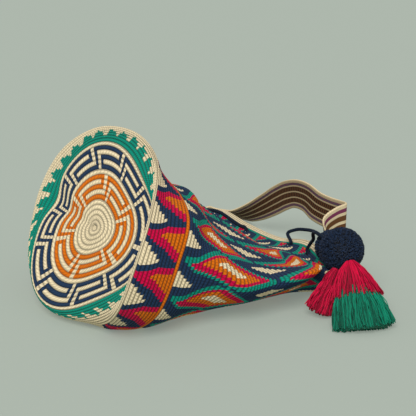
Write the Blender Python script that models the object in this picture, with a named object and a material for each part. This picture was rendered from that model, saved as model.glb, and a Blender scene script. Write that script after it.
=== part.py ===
"""Crocheted tote bag that lies on its side, as separate closed solids.

The bag's round base leans back on its edge at -X, the wall falls to a flat mouth
at +X, and the strap, drawstring, pompoms and tassels lie at the mouth.
Lengths are written in millimetres and become metres in the meshes.
The origin is on the floor under the middle of the bag.
"""
import math
from dataclasses import dataclass

import bmesh
import bpy
import numpy as np
from mathutils import Vector

MM = 0.001
GAP = 0.3

# Crochet
STITCHES = 160
REPEAT = 10
ROUND_PITCH = 5.7
STITCH_LEAN = 0.47
STITCH_START = 40.7
RIDGE_HEIGHT = 0.6
COLUMNS = 64

# Rounds, counted from the middle of the base
ORANGE_RING = (6, 10)
NAVY_RING = (12, 16)
TEAL_ROUNDS = (18, 19)
CASTLE_ROUND = 20
BAND_ROUND = 27
LATTICE_ROUND = 36
RIM_ROUND = 80
EYELET_ROUND = 79
LAST_ROUND = 82
RING_UNITS = {ORANGE_RING: 6, NAVY_RING: 10}
RING_START = {ORANGE_RING: 0.1517, NAVY_RING: 0.0395}
RING_STITCHES = 11
CASTLE_TEETH = 32
CASTLE_WIDTHS = (4, 3, 1)

# Base disc
BASE_CENTRE = (-76.0, -2.0, 100.0)
BASE_LEAN = math.radians(30.0)
BASE_TURN = math.radians(5.0)
BASE_PITCH = 5.75
DISC_ROUNDS = 16
CORNERS = 3
CORNER_TURN = 0.915
CORNER_SWELL = (0.060, 0.0020)
PITCH_LOSS = 0.0035
HEAVY_SIDE = 0.0035
HEAVY_TURN = 0.82
STRETCH = 0.0026
STRETCH_TURN = 0.46
CREASE_TURN = 0.72
CREASE_WIDTH = 0.035
CREASE_PULL = 0.0040
CREASE_DEPTH = 6.0

# Wall and mouth
WALL = 3.0
BASE_WALL = 6.0
FLAT_BELOW = 0.6
EYELET_COLUMNS = (2, 10, 19, 24, 28, 36, 50, 57)
INNER_DISC = (5, 10, 14)
INNER_ROUNDS = (32, 36, 40, 45, 49, 53, 57, 62, 67, 71, 74, 76)
CORNER_PAD = 0.3
CORNER_PAD_FROM = 70


@dataclass(frozen=True)
class Hoop:
    """One round of the wall: where it stands, how it leans, and its outline.

    The outline's (y, z) points start at the foot, run up the side at -Y, over the
    top and down the side at +Y. x grows by lean for each z and by turn for each y,
    and the side at -Y stands forward by reach.
    """

    round: float
    foot: float
    lean: float
    turn: float
    reach: float
    outline: tuple


HOOPS = (
    Hoop(22, -124, 0.53, -0.09, 18, (
        (0, 7), (-54, 24), (-91, 55), (-99, 97), (-80, 140), (-45, 178), (2, 194),
        (60, 188), (97, 153), (110, 107), (95, 54), (52, 17))),
    Hoop(26, -105, 0.48, -0.09, 46, (
        (0, 1), (-56, 13), (-97, 44), (-107, 90), (-94, 136), (-56, 176), (2, 193),
        (68, 188), (117, 156), (130, 106), (108, 50), (58, 6))),
    Hoop(29, -95, 0.46, -0.09, 38, (
        (5, 0), (-59, 6), (-101, 37), (-115, 85), (-96, 132), (-55, 165), (0, 176),
        (67, 168), (120, 140), (133, 97), (113, 46), (65, 3))),
    Hoop(35, -66, 0.48, -0.03, 18, (
        (10, 0), (-64, 0), (-108, 28), (-118, 82), (-108, 119), (-55, 140), (4, 145),
        (67, 140), (120, 117), (134, 80), (117, 29), (71, 2))),
    Hoop(41, -35, 0.46, 0.05, 2, (
        (12, 0), (-64, 0), (-107, 25), (-128, 76), (-100, 96), (-50, 131), (3, 128),
        (66, 110), (130, 103), (148, 64), (123, 17), (68, 0))),
    Hoop(47, -5, 0.48, 0.14, -26, (
        (18, 0), (-65, 0), (-116, 24), (-143, 47), (-103, 76), (-40, 103), (2, 113),
        (50, 78), (123, 77), (158, 46), (127, 4), (68, 0))),
    Hoop(54, 32, 0.70, 0.19, -28, (
        (20, 0), (-67, 3), (-122, 20), (-146, 43), (-97, 56), (-34, 76), (-8, 82),
        (30, 54), (114, 52), (157, 32), (129, 0), (64, 0))),
    Hoop(62, 81, 1.00, 0.17, -5, (
        (5, 0), (-72, 2), (-128, 20), (-162, 52), (-109, 44), (-56, 48), (-8, 48),
        (48, 30), (120, 36), (157, 22), (122, 1), (62, 0))),
    Hoop(70, 128, 0.88, 0.15, 16, (
        (0, 0), (-72, 2), (-122, 14), (-150, 43), (-100, 40), (-42, 34), (9, 29),
        (68, 17), (134, 30), (170, 20), (124, 1), (57, 0))),
    Hoop(76, 166, 0.80, 0.10, 26, (
        (-5, 5), (-78, 5.5), (-130, 9), (-156, 34), (-105, 23), (-44, 26), (10, 20),
        (75, 19), (139, 24), (170, 15), (127, 4.5), (57, 5))),
    Hoop(82, 200, 0.45, 0.08, 28, (
        (-9, 8.5), (-79, 8.5), (-134, 8.5), (-155, 23), (-105, 24), (-44, 31), (10, 21),
        (76, 21), (139, 24), (169, 15), (131, 5.5), (56, 8.5))),
)


def smooth(knots, values, wanted):
    """Read a smooth curve through values, given at rising knots."""
    knots = np.asarray(knots, float)
    values = np.asarray(values, float)
    steps = np.diff(knots)
    shape = (-1,) + (1,) * (values.ndim - 1)
    slopes = np.diff(values, axis=0) / steps.reshape(shape)
    before, after = steps[:-1].reshape(shape), steps[1:].reshape(shape)
    inner = (slopes[:-1] * after + slopes[1:] * before) / (before + after)
    tangents = np.concatenate([slopes[:1], inner, slopes[-1:]])
    wanted = np.atleast_1d(np.asarray(wanted, float))
    at = np.clip(np.searchsorted(knots, wanted, side="right") - 1, 0, len(steps) - 1)
    span = steps[at].reshape(shape)
    t = ((wanted - knots[at]) / steps[at]).reshape(shape)
    return (
        values[at] * (1 + 2 * t) * (1 - t) ** 2
        + tangents[at] * span * t * (1 - t) ** 2
        + values[at + 1] * t * t * (3 - 2 * t)
        + tangents[at + 1] * span * t * t * (t - 1)
    )


def even_loop(corners, count):
    """Read count evenly spaced points off a smooth closed curve through corners."""
    corners = np.asarray(corners, float)
    size = len(corners)
    ring = corners[np.arange(-2, size + 3) % size]
    knots = np.concatenate([[0], np.cumsum(np.linalg.norm(np.diff(ring, axis=0), axis=1) ** 0.7)])
    fine = smooth(knots, ring, np.linspace(knots[2], knots[-3], 40 * size + 1))
    walked = np.concatenate([[0], np.cumsum(np.linalg.norm(np.diff(fine, axis=0), axis=1))])
    stops = np.arange(count) / count * walked[-1]
    return np.stack([np.interp(stops, walked, fine[:, axis]) for axis in range(3)], 1)


def hoop_points(hoop, count):
    """Return the hoop's points, evenly spaced from its foot."""
    outline = np.array(hoop.outline, float)
    y, z = outline[:, 0], outline[:, 1]
    forward = np.clip(y / y.min(), 0, 1) ** 2
    x = hoop.foot + hoop.lean * z + hoop.turn * y - hoop.reach * forward
    points = even_loop(np.stack([x, y, z], 1), count)
    points[:, 2] = np.maximum(points[:, 2], 0)
    return points


def base_axes():
    """Return the base disc's sideways, upward and outward directions."""
    side = np.array([-math.sin(BASE_TURN), math.cos(BASE_TURN), 0])
    up = np.array([
        math.sin(BASE_LEAN) * math.cos(BASE_TURN),
        math.sin(BASE_LEAN) * math.sin(BASE_TURN),
        math.cos(BASE_LEAN),
    ])
    return side, up, np.cross(up, side)


def base_circle(round_number, count):
    """Return points round the base disc, from its lowest point.

    The disc has three soft corners and one crease that runs in from its edge.
    """
    side, up, out = base_axes()
    turn = np.arange(count) / count
    turn = turn + STRETCH * round_number * np.cos(2 * math.pi * (turn - STRETCH_TURN))
    swell = CORNER_SWELL[0] + CORNER_SWELL[1] * round_number
    crease = np.exp(-(((turn - CREASE_TURN) / CREASE_WIDTH) ** 2))
    radius = BASE_PITCH * round_number * (
        1
        - PITCH_LOSS * round_number
        + swell * np.cos(2 * math.pi * CORNERS * (turn - CORNER_TURN))
        + HEAVY_SIDE * round_number * np.cos(2 * math.pi * (turn - HEAVY_TURN))
        - CREASE_PULL * round_number * crease
    )
    depth = CREASE_DEPTH * crease * round_number / DISC_ROUNDS
    angle = 2 * math.pi * turn
    return (
        np.array(BASE_CENTRE)
        - (radius * np.cos(angle))[:, None] * up
        - (radius * np.sin(angle))[:, None] * side
        - depth[:, None] * out
    )


def fabric(rounds, count):
    """Return the bag's outer surface: one row of points for each round."""
    disc = list(range(0, DISC_ROUNDS + 1, 2))
    knots = disc + [hoop.round for hoop in HOOPS]
    rows = [base_circle(number, count) for number in disc]
    rows += [hoop_points(hoop, count) for hoop in HOOPS]
    surface = smooth(knots, rows, rounds)
    surface[:, :, 2] = np.maximum(surface[:, :, 2], 0)
    return surface


# Pattern
def ring_yarn(ring, yarn, row, turn):
    """Return the yarn of one stitch in a ring of hooked lines on the base."""
    step = (turn - RING_START[ring]) * RING_UNITS[ring] % 1 * RING_STITCHES
    line = row - ring[0]
    if step < 1:
        lines = (0, 1, 2, 3, 4)
    elif step < 2:
        lines = (0,)
    elif step < 3:
        lines = (0, 2, 3, 4)
    elif step < RING_STITCHES - 2:
        lines = (0, 2, 4)
    elif step < RING_STITCHES - 1:
        lines = (0, 1, 2, 4)
    else:
        lines = (4,)
    return yarn if line in lines else "beige"


def castle_yarn(row, turn):
    """Return the yarn of one stitch in the toothed border of the base."""
    step = -turn * CASTLE_TEETH % 1 * STITCHES / CASTLE_TEETH
    return "teal" if step < CASTLE_WIDTHS[row - CASTLE_ROUND] else "beige"


def band_yarn(row, stitch):
    """Return the yarn of one stitch in the band of wedges."""
    width = row - BAND_ROUND + 1
    step = (stitch + 12) % REPEAT
    if step < width:
        inside = width >= 5 and 2 <= step < width - 2
        return "orange" if inside else "magenta"
    if step < width + 2 or step >= REPEAT - 1:
        return "navy"
    return "beige"


def lattice_yarn(row, stitch):
    """Return the yarn of one stitch in the slanting chequered lattice."""
    rise = row - LATTICE_ROUND
    across = round(stitch / REPEAT)
    along = round((stitch - rise) / REPEAT)
    near = max(abs(stitch - REPEAT * across), abs(stitch - rise - REPEAT * along))
    navy_cell = (across - along) % 2 == 0
    if near > 4:
        return "teal" if navy_cell else "magenta"
    if near > 2:
        return "navy" if navy_cell else "orange"
    return "beige"


def yarn_at(row, turn):
    """Return the yarn of the stitch at a round and a fraction of the way round."""
    for ring, yarn in ((ORANGE_RING, "orange"), (NAVY_RING, "navy")):
        if ring[0] <= row <= ring[1]:
            return ring_yarn(ring, yarn, row, turn)
    if row in TEAL_ROUNDS or row == RIM_ROUND:
        return "teal"
    if CASTLE_ROUND <= row < CASTLE_ROUND + len(CASTLE_WIDTHS):
        return castle_yarn(row, turn)
    stitch = STITCH_START - STITCHES * turn + STITCH_LEAN * (row - LATTICE_ROUND)
    if BAND_ROUND <= row < LATTICE_ROUND:
        return band_yarn(row, stitch)
    if row in (LATTICE_ROUND, LATTICE_ROUND + 1):
        return "orange"
    if LATTICE_ROUND < row < RIM_ROUND:
        return lattice_yarn(row, stitch)
    return "beige"


# Finishes
@dataclass(frozen=True)
class Yarn:
    """A yarn's colour, written as it looks on a screen from 0 to 255, and sheen."""

    colour: tuple
    rough: float = 0.85


YARNS = {
    "beige": Yarn((228, 210, 172)),
    "orange": Yarn((222, 122, 20)),
    "magenta": Yarn((205, 8, 78)),
    "teal": Yarn((20, 148, 128)),
    "navy": Yarn((38, 62, 90)),
    "dark_navy": Yarn((15, 28, 48), 0.95),
    "cord_navy": Yarn((22, 38, 60)),
    "bright_magenta": Yarn((215, 0, 75), 0.7),
    "deep_teal": Yarn((18, 130, 102), 0.7),
    "strap_beige": Yarn((225, 205, 165)),
    "strap_purple": Yarn((120, 65, 88)),
    "strap_brown": Yarn((105, 70, 38)),
}
BAG_YARNS = ("beige", "orange", "magenta", "teal", "navy")
STRAP_YARNS = ("strap_beige", "strap_purple", "strap_brown")


def linear(value):
    """Turn a screen value from 0 to 255 into a linear one from 0 to 1."""
    value = value / 255
    return value / 12.92 if value <= 0.04045 else ((value + 0.055) / 1.055) ** 2.4


def finish(name):
    """Return the material of a yarn, made on first use."""
    material = bpy.data.materials.get(name)
    if material is None:
        yarn = YARNS[name]
        material = bpy.data.materials.new(name)
        material.use_nodes = True
        shader = material.node_tree.nodes["Principled BSDF"]
        shader.inputs["Base Color"].default_value = (*map(linear, yarn.colour), 1.0)
        shader.inputs["Roughness"].default_value = yarn.rough
        shader.inputs["Metallic"].default_value = 0.0
        material.diffuse_color = (*map(linear, yarn.colour), 1.0)
    return material


# Solids
def add_solid(name, points, faces, yarns, face_yarns=None):
    """Add a closed mesh object from points in millimetres and faces."""
    mesh = bpy.data.meshes.new(name)
    mesh.from_pydata([tuple(float(v) * MM for v in point) for point in points], [], faces)
    for yarn in yarns:
        mesh.materials.append(finish(yarn))
    if face_yarns is not None:
        for polygon, yarn in zip(mesh.polygons, face_yarns):
            polygon.material_index = yarns.index(yarn)
    shape = bmesh.new()
    shape.from_mesh(mesh)
    bmesh.ops.triangulate(shape, faces=shape.faces)
    bmesh.ops.recalc_face_normals(shape, faces=shape.faces)
    if shape.calc_volume(signed=True) < 0:
        bmesh.ops.reverse_faces(shape, faces=shape.faces)
    shape.to_mesh(mesh)
    shape.free()
    thing = bpy.data.objects.new(name, mesh)
    bpy.context.scene.collection.objects.link(thing)
    return thing


def unit(vector):
    """Return the vector at length one."""
    vector = np.asarray(vector, float)
    return vector / np.linalg.norm(vector)


def ring_faces(first, second, count):
    """Return the quads between two rings of points that start at these indices."""
    return [
        (first + i, first + (i + 1) % count, second + (i + 1) % count, second + i)
        for i in range(count)
    ]


def loft(name, rings, yarns, ring_yarns=None):
    """Add a closed solid through rings of points, with flat ends."""
    count = len(rings[0])
    points = [point for ring in rings for point in ring]
    faces = []
    face_yarns = []
    for step in range(len(rings) - 1):
        faces += ring_faces(step * count, (step + 1) * count, count)
        face_yarns += ring_yarns if ring_yarns else [yarns[0]] * count
    last = (len(rings) - 1) * count
    faces += [tuple(range(count))[::-1], tuple(range(last, last + count))]
    face_yarns += [yarns[0]] * 2
    return add_solid(name, points, faces, yarns, face_yarns)


def outward(surface):
    """Return the outward direction at each point of a grid of rounds."""
    along = np.gradient(surface, axis=0)
    round_it = np.roll(surface, -1, 1) - np.roll(surface, 1, 1)
    normals = np.cross(along, round_it)
    return normals / np.linalg.norm(normals, axis=2, keepdims=True)


def bends(normals):
    """Return how sharply a row of outward directions turns at each point."""
    return 1 - (np.roll(normals, 1, 0) * np.roll(normals, -1, 0)).sum(1)


# Bag
def outer_edges():
    """Return the rounds at whose edges the outer surface has points."""
    edges = [2.5]
    edges += [number - 0.5 for number in range(ORANGE_RING[0], TEAL_ROUNDS[0] + 1)]
    edges += [number - 0.5 for number in range(CASTLE_ROUND, CASTLE_ROUND + 4)]
    edges += [24.5]
    edges += [number - 0.5 for number in range(BAND_ROUND, LAST_ROUND + 1)]
    edges += [LAST_ROUND]
    return edges


def outer_rows(edges):
    """Return the outer surface's rows, with the rounds raised in ridges."""
    fine = fabric([edge + shift for edge in edges for shift in (-0.5, 0, 0.5)], COLUMNS)
    rows = []
    for index in range(len(edges)):
        trio = fine[3 * index:3 * index + 3]
        raise_by = RIDGE_HEIGHT * (0.5 if index % 2 else -0.5)
        row = trio[1] + raise_by * outward(trio)[1]
        row[:, 2] = np.where(trio[1][:, 2] < FLAT_BELOW, 0, np.maximum(row[:, 2], 0))
        rows.append(row)
    return rows


def inner_rows():
    """Return the inner surface's rows and the rounds they follow."""
    edges = list(INNER_DISC) + list(INNER_ROUNDS)
    edges += [EYELET_ROUND - 1.5, EYELET_ROUND - 0.5, EYELET_ROUND + 0.5, LAST_ROUND]
    fine = fabric([edge + shift for edge in edges for shift in (-0.5, 0, 0.5)], COLUMNS)
    out = base_axes()[2]
    rows = []
    for index, edge in enumerate(edges):
        trio = fine[3 * index:3 * index + 3]
        if edge <= DISC_ROUNDS:
            rows.append(trio[1] - BASE_WALL * out)
        else:
            normals = outward(trio)[1]
            pad = CORNER_PAD if edge > CORNER_PAD_FROM else 0
            rows.append(trio[1] - WALL * (1 + pad * bends(normals))[:, None] * normals)
    return rows, edges


def bag_body():
    """Add the crocheted bag: base, wall and rim in one open-mouthed solid."""
    edges = outer_edges()
    outer = outer_rows(edges)
    inner, inner_edges = inner_rows()
    out = base_axes()[2]
    points = [np.array(BASE_CENTRE), np.array(BASE_CENTRE) - BASE_WALL * out]
    outer_at = [2 + index * COLUMNS for index in range(len(outer))]
    inner_at = [2 + (len(outer) + index) * COLUMNS for index in range(len(inner))]
    for row in outer + inner:
        points += list(row)
    faces = []
    face_yarns = []

    def skin(starts, rows_at, is_outer):
        hole = (EYELET_ROUND - 1.5, EYELET_ROUND + 0.5)
        for index in range(len(starts) - 1):
            low, high = rows_at[index], rows_at[index + 1]
            holed = low >= hole[0] and high <= hole[1]
            for column, face in enumerate(ring_faces(starts[index], starts[index + 1], COLUMNS)):
                if holed and column in EYELET_COLUMNS:
                    continue
                faces.append(face)
                number = round((low + high) / 2 + 0.01)
                turn = (column + 0.5) / COLUMNS
                face_yarns.append(yarn_at(number, turn) if is_outer else "beige")

    skin(outer_at, edges, True)
    skin(inner_at, inner_edges, False)
    for pole, start in ((0, outer_at[0]), (1, inner_at[0])):
        for column in range(COLUMNS):
            faces.append((pole, start + column, start + (column + 1) % COLUMNS))
            face_yarns.append("beige")
    lip = ring_faces(outer_at[-1], inner_at[-1], COLUMNS)
    faces += lip
    face_yarns += ["beige"] * len(lip)
    for column in EYELET_COLUMNS:
        sides = []
        for starts, rows_at in ((outer_at, edges), (inner_at, inner_edges)):
            three = [starts[rows_at.index(EYELET_ROUND + shift)] for shift in (-1.5, -0.5, 0.5)]
            loop = [start + column for start in three]
            loop += [start + (column + 1) % COLUMNS for start in reversed(three)]
            sides.append(loop)
        for step in range(6):
            after = (step + 1) % 6
            faces.append((sides[0][step], sides[0][after], sides[1][after], sides[1][step]))
            face_yarns.append("beige")
    return add_solid("bag_body", points, faces, list(BAG_YARNS), face_yarns)


# Drawstring
STRING_RADIUS = 2.0
STRING_CLEAR = 0.5
STRING_LOW = 0.3
STRING_SIDES = 8
STRING_SLOPE = 0.36
BACK_ARC = (
    (197, -17, 37), (201, -27, 43), (202, -43, 47), (199, -60, 50), (192, -78, 51),
    (187, -90, 50), (184.9, -95.8, 50),
)
FRONT_ARC = (
    (188, -66, 38), (183, -76, 47), (171, -88, 60), (159, -105, 69), (155, -118, 69),
    (154, -130.4, 66.8),
)
OUTSIDE_RUNS = ((36, 50), (57, 66), (74, 83))
INSIDE_RUNS = ((28, 36), (50, 57), (66, 74), (83, 88))


def rim_point(column, height):
    """Return a point of the rim's eyelet line, at a height off the outer side."""
    rows = fabric([EYELET_ROUND - 1.5, EYELET_ROUND - 0.5, EYELET_ROUND + 0.5], COLUMNS)
    normals = outward(rows)[1]
    low = math.floor(column)
    share = column - low
    if height > 0:
        height = height * (1 + 0.5 * bends(normals)[low % COLUMNS])
    place = rows[1][low % COLUMNS] * (1 - share) + rows[1][(low + 1) % COLUMNS] * share
    normal = normals[low % COLUMNS] * (1 - share) + normals[(low + 1) % COLUMNS] * share
    point = place + height * unit(normal)
    point[2] = max(point[2], STRING_RADIUS + STRING_LOW)
    return point


def string_route():
    """Return the drawstring's middle line, from the back pompom to the front one."""
    outside = STRING_RADIUS + STRING_CLEAR
    inside = -WALL - STRING_RADIUS - STRING_CLEAR
    runs = sorted([(run, outside) for run in OUTSIDE_RUNS] + [(run, inside) for run in INSIDE_RUNS])
    first = runs[0][0][0] + 0.5
    last = runs[-1][0][1] + 0.5
    route = [rim_point(first - STRING_SLOPE, outside)]
    for (start, end), height in runs:
        route.append(rim_point(start + 0.5, -WALL / 2))
        route.append(rim_point(start + 0.5 + STRING_SLOPE, height))
        route += [rim_point(column, height) for column in range(start + 2, end)]
        route.append(rim_point(end + 0.5 - STRING_SLOPE, height))
    route.append(rim_point(last, -WALL / 2))
    route.append(rim_point(last + STRING_SLOPE, outside))
    arc_in = [np.array(point, float) for point in BACK_ARC][::-1]
    arc_out = [np.array(point, float) for point in FRONT_ARC]
    return arc_in + route + arc_out


def tube(name, route, radius, sides, yarn):
    """Add a round tube with flat ends along a route."""
    route = [np.asarray(point, float) for point in route]
    directions = [unit(b - a) for a, b in zip(route[:-1], route[1:])]
    tangents = [directions[0]]
    tangents += [unit(a + b) for a, b in zip(directions[:-1], directions[1:])]
    tangents.append(directions[-1])
    across = unit(np.cross(tangents[0], (0.3, 0.5, 0.8)))
    rings = []
    for centre, tangent in zip(route, tangents):
        across = unit(across - tangent * across.dot(tangent))
        other = np.cross(tangent, across)
        angles = 2 * math.pi * np.arange(sides) / sides
        rings.append([
            centre + radius * (math.cos(angle) * across + math.sin(angle) * other)
            for angle in angles
        ])
    return loft(name, rings, [yarn])


# Strap
STRAP_WIDTH = 45.0
STRAP_THICK = 2.6
STRAP_STRIPES = (
    "strap_beige", "strap_purple", "strap_beige", "strap_brown", "strap_beige",
    "strap_brown", "strap_beige", "strap_purple", "strap_beige",
)
STRAP_STEP = 11.0
STRAP_ROUTE = (
    ((199.3, -57, 10), (-0.21, -0.98, 0.0)),
    ((219, -54, 30), (-0.36, -0.72, 0.60)),
    ((227, -58, 46), (-0.55, -0.15, 0.83)),
    ((239, -60, 51), (-0.18, -0.10, 0.98)),
    ((253, -60, 52), (0.0, -0.03, 1.0)),
    ((255, -46, 53), (-0.02, -0.20, 0.98)),
    ((251, -32, 56), (-0.04, -0.36, 0.93)),
    ((247, -14, 61), (-0.08, -0.42, 0.90)),
    ((245, 2, 69), (-0.16, -0.38, 0.91)),
    ((244, 18, 70), (-0.20, -0.30, 0.93)),
    ((243, 36, 64), (-0.24, -0.16, 0.96)),
    ((243, 52, 55), (-0.28, -0.12, 0.95)),
    ((242, 78, 39), (-0.40, -0.22, 0.88)),
    ((240, 103, 25), (-0.62, -0.30, 0.72)),
    ((243, 127, 15), (-0.82, -0.20, 0.53)),
    ((245, 150, 11), (-0.80, -0.30, 0.48)),
    ((240, 174, 10), (-0.60, -0.66, 0.45)),
    ((226, 196, 10), (0.10, -0.90, 0.40)),
)


def strap():
    """Add the woven strap, a striped band that bends and twists."""
    centres = np.array([station[0] for station in STRAP_ROUTE], float)
    widths = np.array([station[1] for station in STRAP_ROUTE], float)
    walked = np.concatenate([[0], np.cumsum(np.linalg.norm(np.diff(centres, axis=0), axis=1))])
    stops = np.linspace(0, walked[-1], round(walked[-1] / STRAP_STEP) + 1)
    middles = smooth(walked, centres, stops)
    across = smooth(walked, widths, stops)
    along = np.gradient(middles, axis=0)
    shares = np.linspace(0.5, -0.5, len(STRAP_STRIPES) + 1)
    rings = []
    for middle, width, run in zip(middles, across, along):
        width = unit(width)
        face = unit(np.cross(unit(run), width))
        top = [middle + STRAP_WIDTH * s * width + STRAP_THICK / 2 * face for s in shares]
        low = [middle + STRAP_WIDTH * s * width - STRAP_THICK / 2 * face for s in shares[::-1]]
        ring = np.array(top + low)
        ring[:, 2] = np.maximum(ring[:, 2], 0.3)
        rings.append(list(ring))
    colours = list(STRAP_STRIPES) + ["strap_beige"]
    colours += list(STRAP_STRIPES[::-1]) + ["strap_beige"]
    return loft("strap", rings, list(STRAP_YARNS), colours)


# Pompoms
FRONT_POMPOM = ((150, -155, 63.5), 25.0)
BACK_POMPOM = ((177, -115, 49.5), 21.0)
TUFT = 0.8


def pompom(name, centre, radius):
    """Add a round pompom with a tufted surface."""
    shape = bmesh.new()
    bmesh.ops.create_icosphere(shape, subdivisions=3, radius=1.0)
    points = []
    for index, vert in enumerate(shape.verts):
        reach = radius - TUFT * (index * 7 % 5) / 4
        points.append(np.array(centre) + reach * np.array(vert.co))
    shape.verts.index_update()
    faces = [tuple(vert.index for vert in face.verts) for face in shape.faces]
    shape.free()
    return add_solid(name, points, faces, ["dark_navy"])


# Tassels
TASSEL_SIDES = 28
TASSEL_RIB = 0.07
TASSEL_SIDE = (0.8, -0.6, 0.0)
TASSEL_GAP = 0.4


@dataclass(frozen=True)
class Tassel:
    """A tassel's top, its bottom, and half its width and depth down its length.

    Each station is a share of the length with half the width and half the depth
    there. The upper stations make the skirt and the lower ones the brush.
    """

    top: tuple
    bottom: tuple
    skirt: tuple
    brush: tuple


FRONT_TASSEL = Tassel(
    (138.5, -179, 58.6), (113, -226, 8),
    ((0, 5, 4), (0.12, 13, 8), (0.30, 19, 10), (0.52, 24, 11)),
    ((0.52, 23, 10), (0.75, 28, 11), (1, 34, 12)),
)
BACK_TASSEL = Tassel(
    (131, -167, 48.2), (101, -169, 8),
    ((0, 5, 5), (0.2, 9, 7), (0.45, 11, 8)),
    ((0.45, 10.5, 7.5), (0.72, 13, 8), (1, 15, 9)),
)


def strands(name, plan, stations, shift, yarn):
    """Add one bundle of a tassel's strands, ribbed, with flat ends."""
    top, bottom = np.array(plan.top, float), np.array(plan.bottom, float)
    run = unit(bottom - top)
    side = unit(np.array(TASSEL_SIDE) - run * run.dot(TASSEL_SIDE))
    face = np.cross(run, side)
    rings = []
    for share, half_width, half_deep in stations:
        centre = top + (bottom - top) * share + run * shift
        ring = []
        for step in range(TASSEL_SIDES):
            angle = 2 * math.pi * step / TASSEL_SIDES
            reach = 1 + TASSEL_RIB * (0.5 if step % 2 else -0.5)
            point = centre + reach * half_width * math.cos(angle) * side
            point = point + reach * half_deep * math.sin(angle) * face
            point[2] = max(point[2], 0)
            ring.append(point)
        rings.append(ring)
    return loft(name, rings, [yarn])


def main():
    """Model every piece of the bag."""
    for thing in list(bpy.data.objects):
        bpy.data.objects.remove(thing, do_unlink=True)
    bag_body()
    tube("drawstring", string_route(), STRING_RADIUS, STRING_SIDES, "cord_navy")
    strap()
    pompom("pompom_front", *FRONT_POMPOM)
    pompom("pompom_back", *BACK_POMPOM)
    for side, plan, brush_yarn in (
        ("front", FRONT_TASSEL, "deep_teal"),
        ("back", BACK_TASSEL, "bright_magenta"),
    ):
        strands(f"tassel_{side}_skirt", plan, plan.skirt, 0, "bright_magenta")
        strands(f"tassel_{side}_brush", plan, plan.brush, TASSEL_GAP, brush_yarn)


if __name__ == "__main__":
    main()
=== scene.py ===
"""Crocheted tote bag on its side: the looks of every piece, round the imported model.

The bag's base, wall and mouth are one crocheted skin. A twisted drawstring runs
through the mouth, a woven strap arches behind it, and pompoms with strand tassels
lie in front of it. Sizes in the classes are millimetres and become metres in the meshes.
"""
import logging
import math
from dataclasses import dataclass, field, replace
from enum import Enum

import bmesh
import bpy
import numpy as np
from mathutils import Matrix, Vector


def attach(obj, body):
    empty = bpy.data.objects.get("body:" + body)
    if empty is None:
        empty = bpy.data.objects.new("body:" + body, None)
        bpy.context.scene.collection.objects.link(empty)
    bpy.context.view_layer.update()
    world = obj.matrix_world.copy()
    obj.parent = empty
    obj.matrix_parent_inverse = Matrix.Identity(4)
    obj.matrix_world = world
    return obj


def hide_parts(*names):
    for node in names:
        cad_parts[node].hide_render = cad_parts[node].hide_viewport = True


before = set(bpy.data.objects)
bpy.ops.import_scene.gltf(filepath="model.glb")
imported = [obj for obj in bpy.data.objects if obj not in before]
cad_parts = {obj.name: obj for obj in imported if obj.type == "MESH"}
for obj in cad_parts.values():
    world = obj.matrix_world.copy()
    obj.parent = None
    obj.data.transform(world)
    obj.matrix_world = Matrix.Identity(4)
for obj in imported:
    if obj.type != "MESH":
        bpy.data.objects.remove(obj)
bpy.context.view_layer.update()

LOG = logging.getLogger("tote_bag")
MM = 0.001
TURN = 2 * math.pi


# Shader and geometry nodes
class Value:
    """A node's output that can be used in Python sums."""

    def __init__(self, maker: "NodeMaker", socket: bpy.types.NodeSocket) -> None:
        """Keep the socket and the maker that adds Math nodes for it."""
        self.maker = maker
        self.socket = socket

    def __add__(self, other: "Value | float") -> "Value":
        """Return this value plus another."""
        return self.maker.math("ADD", self, other)

    def __rsub__(self, other: float) -> "Value":
        """Return a number less this value."""
        return self.maker.math("SUBTRACT", other, self)

    def __mul__(self, other: "Value | float") -> "Value":
        """Return this value times another."""
        return self.maker.math("MULTIPLY", self, other)

    def __pow__(self, other: "Value | float") -> "Value":
        """Return this value raised to a power."""
        return self.maker.math("POWER", self, other)

    __radd__ = __add__
    __rmul__ = __mul__


class NodeMaker:
    """Adds nodes to one node tree and joins their sockets."""

    def __init__(self, tree: bpy.types.NodeTree) -> None:
        """Keep the tree that gets the nodes."""
        self.tree = tree

    def node(self, kind: str, settings: dict | None = None, values: dict | None = None) -> bpy.types.Node:
        """Add one node.

        Args:
            kind: The node's type.
            settings: Its own settings, which are set first.
            values: What its input sockets hold, as numbers or as links.

        Returns:
            The new node.
        """
        node = self.tree.nodes.new(kind)
        for name, setting in (settings or {}).items():
            setattr(node, name, setting)
        for name, value in (values or {}).items():
            socket = node.inputs[name]
            if isinstance(value, Value):
                self.tree.links.new(value.socket, socket)
            else:
                socket.default_value = value
        return node

    def value(self, kind: str, output: int | str, settings: dict | None = None,
              values: dict | None = None) -> Value:
        """Add one node and return the value of one of its outputs."""
        return Value(self, self.node(kind, settings, values).outputs[output])

    def math(self, operation: str, *terms: "Value | float") -> Value:
        """Add a Math node and return its value."""
        return self.value("ShaderNodeMath", 0, {"operation": operation}, dict(enumerate(terms)))

    def shaded(self, colour: "Value | tuple", shade: Value) -> Value:
        """Return a colour made darker or brighter by a number.

        Args:
            colour: The colour, as a value or as red, green, blue and alpha.
            shade: What each part of it is multiplied by.

        Returns:
            The new colour.
        """
        grey = self.value("ShaderNodeCombineColor", 0, {}, {0: shade, 1: shade, 2: shade})
        settings = {"data_type": "RGBA", "blend_type": "MULTIPLY"}
        return self.value("ShaderNodeMix", 2, settings, {0: 1.0, 6: colour, 7: grey})

    def noise(self, scale: float, detail: float, rough: float = 0.5) -> Value:
        """Return noise on the piece's own coordinates, with this many grains to a metre.

        Args:
            scale: How many grains there are to a metre.
            detail: How many finer layers the noise has.
            rough: How strong the finer layers are.

        Returns:
            The noise, from 0 to 1.
        """
        place = self.value("ShaderNodeTexCoord", "Object")
        return self.value("ShaderNodeTexNoise", 0, {}, {
            "Vector": place, "Scale": scale, "Detail": detail, "Roughness": rough})


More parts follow.
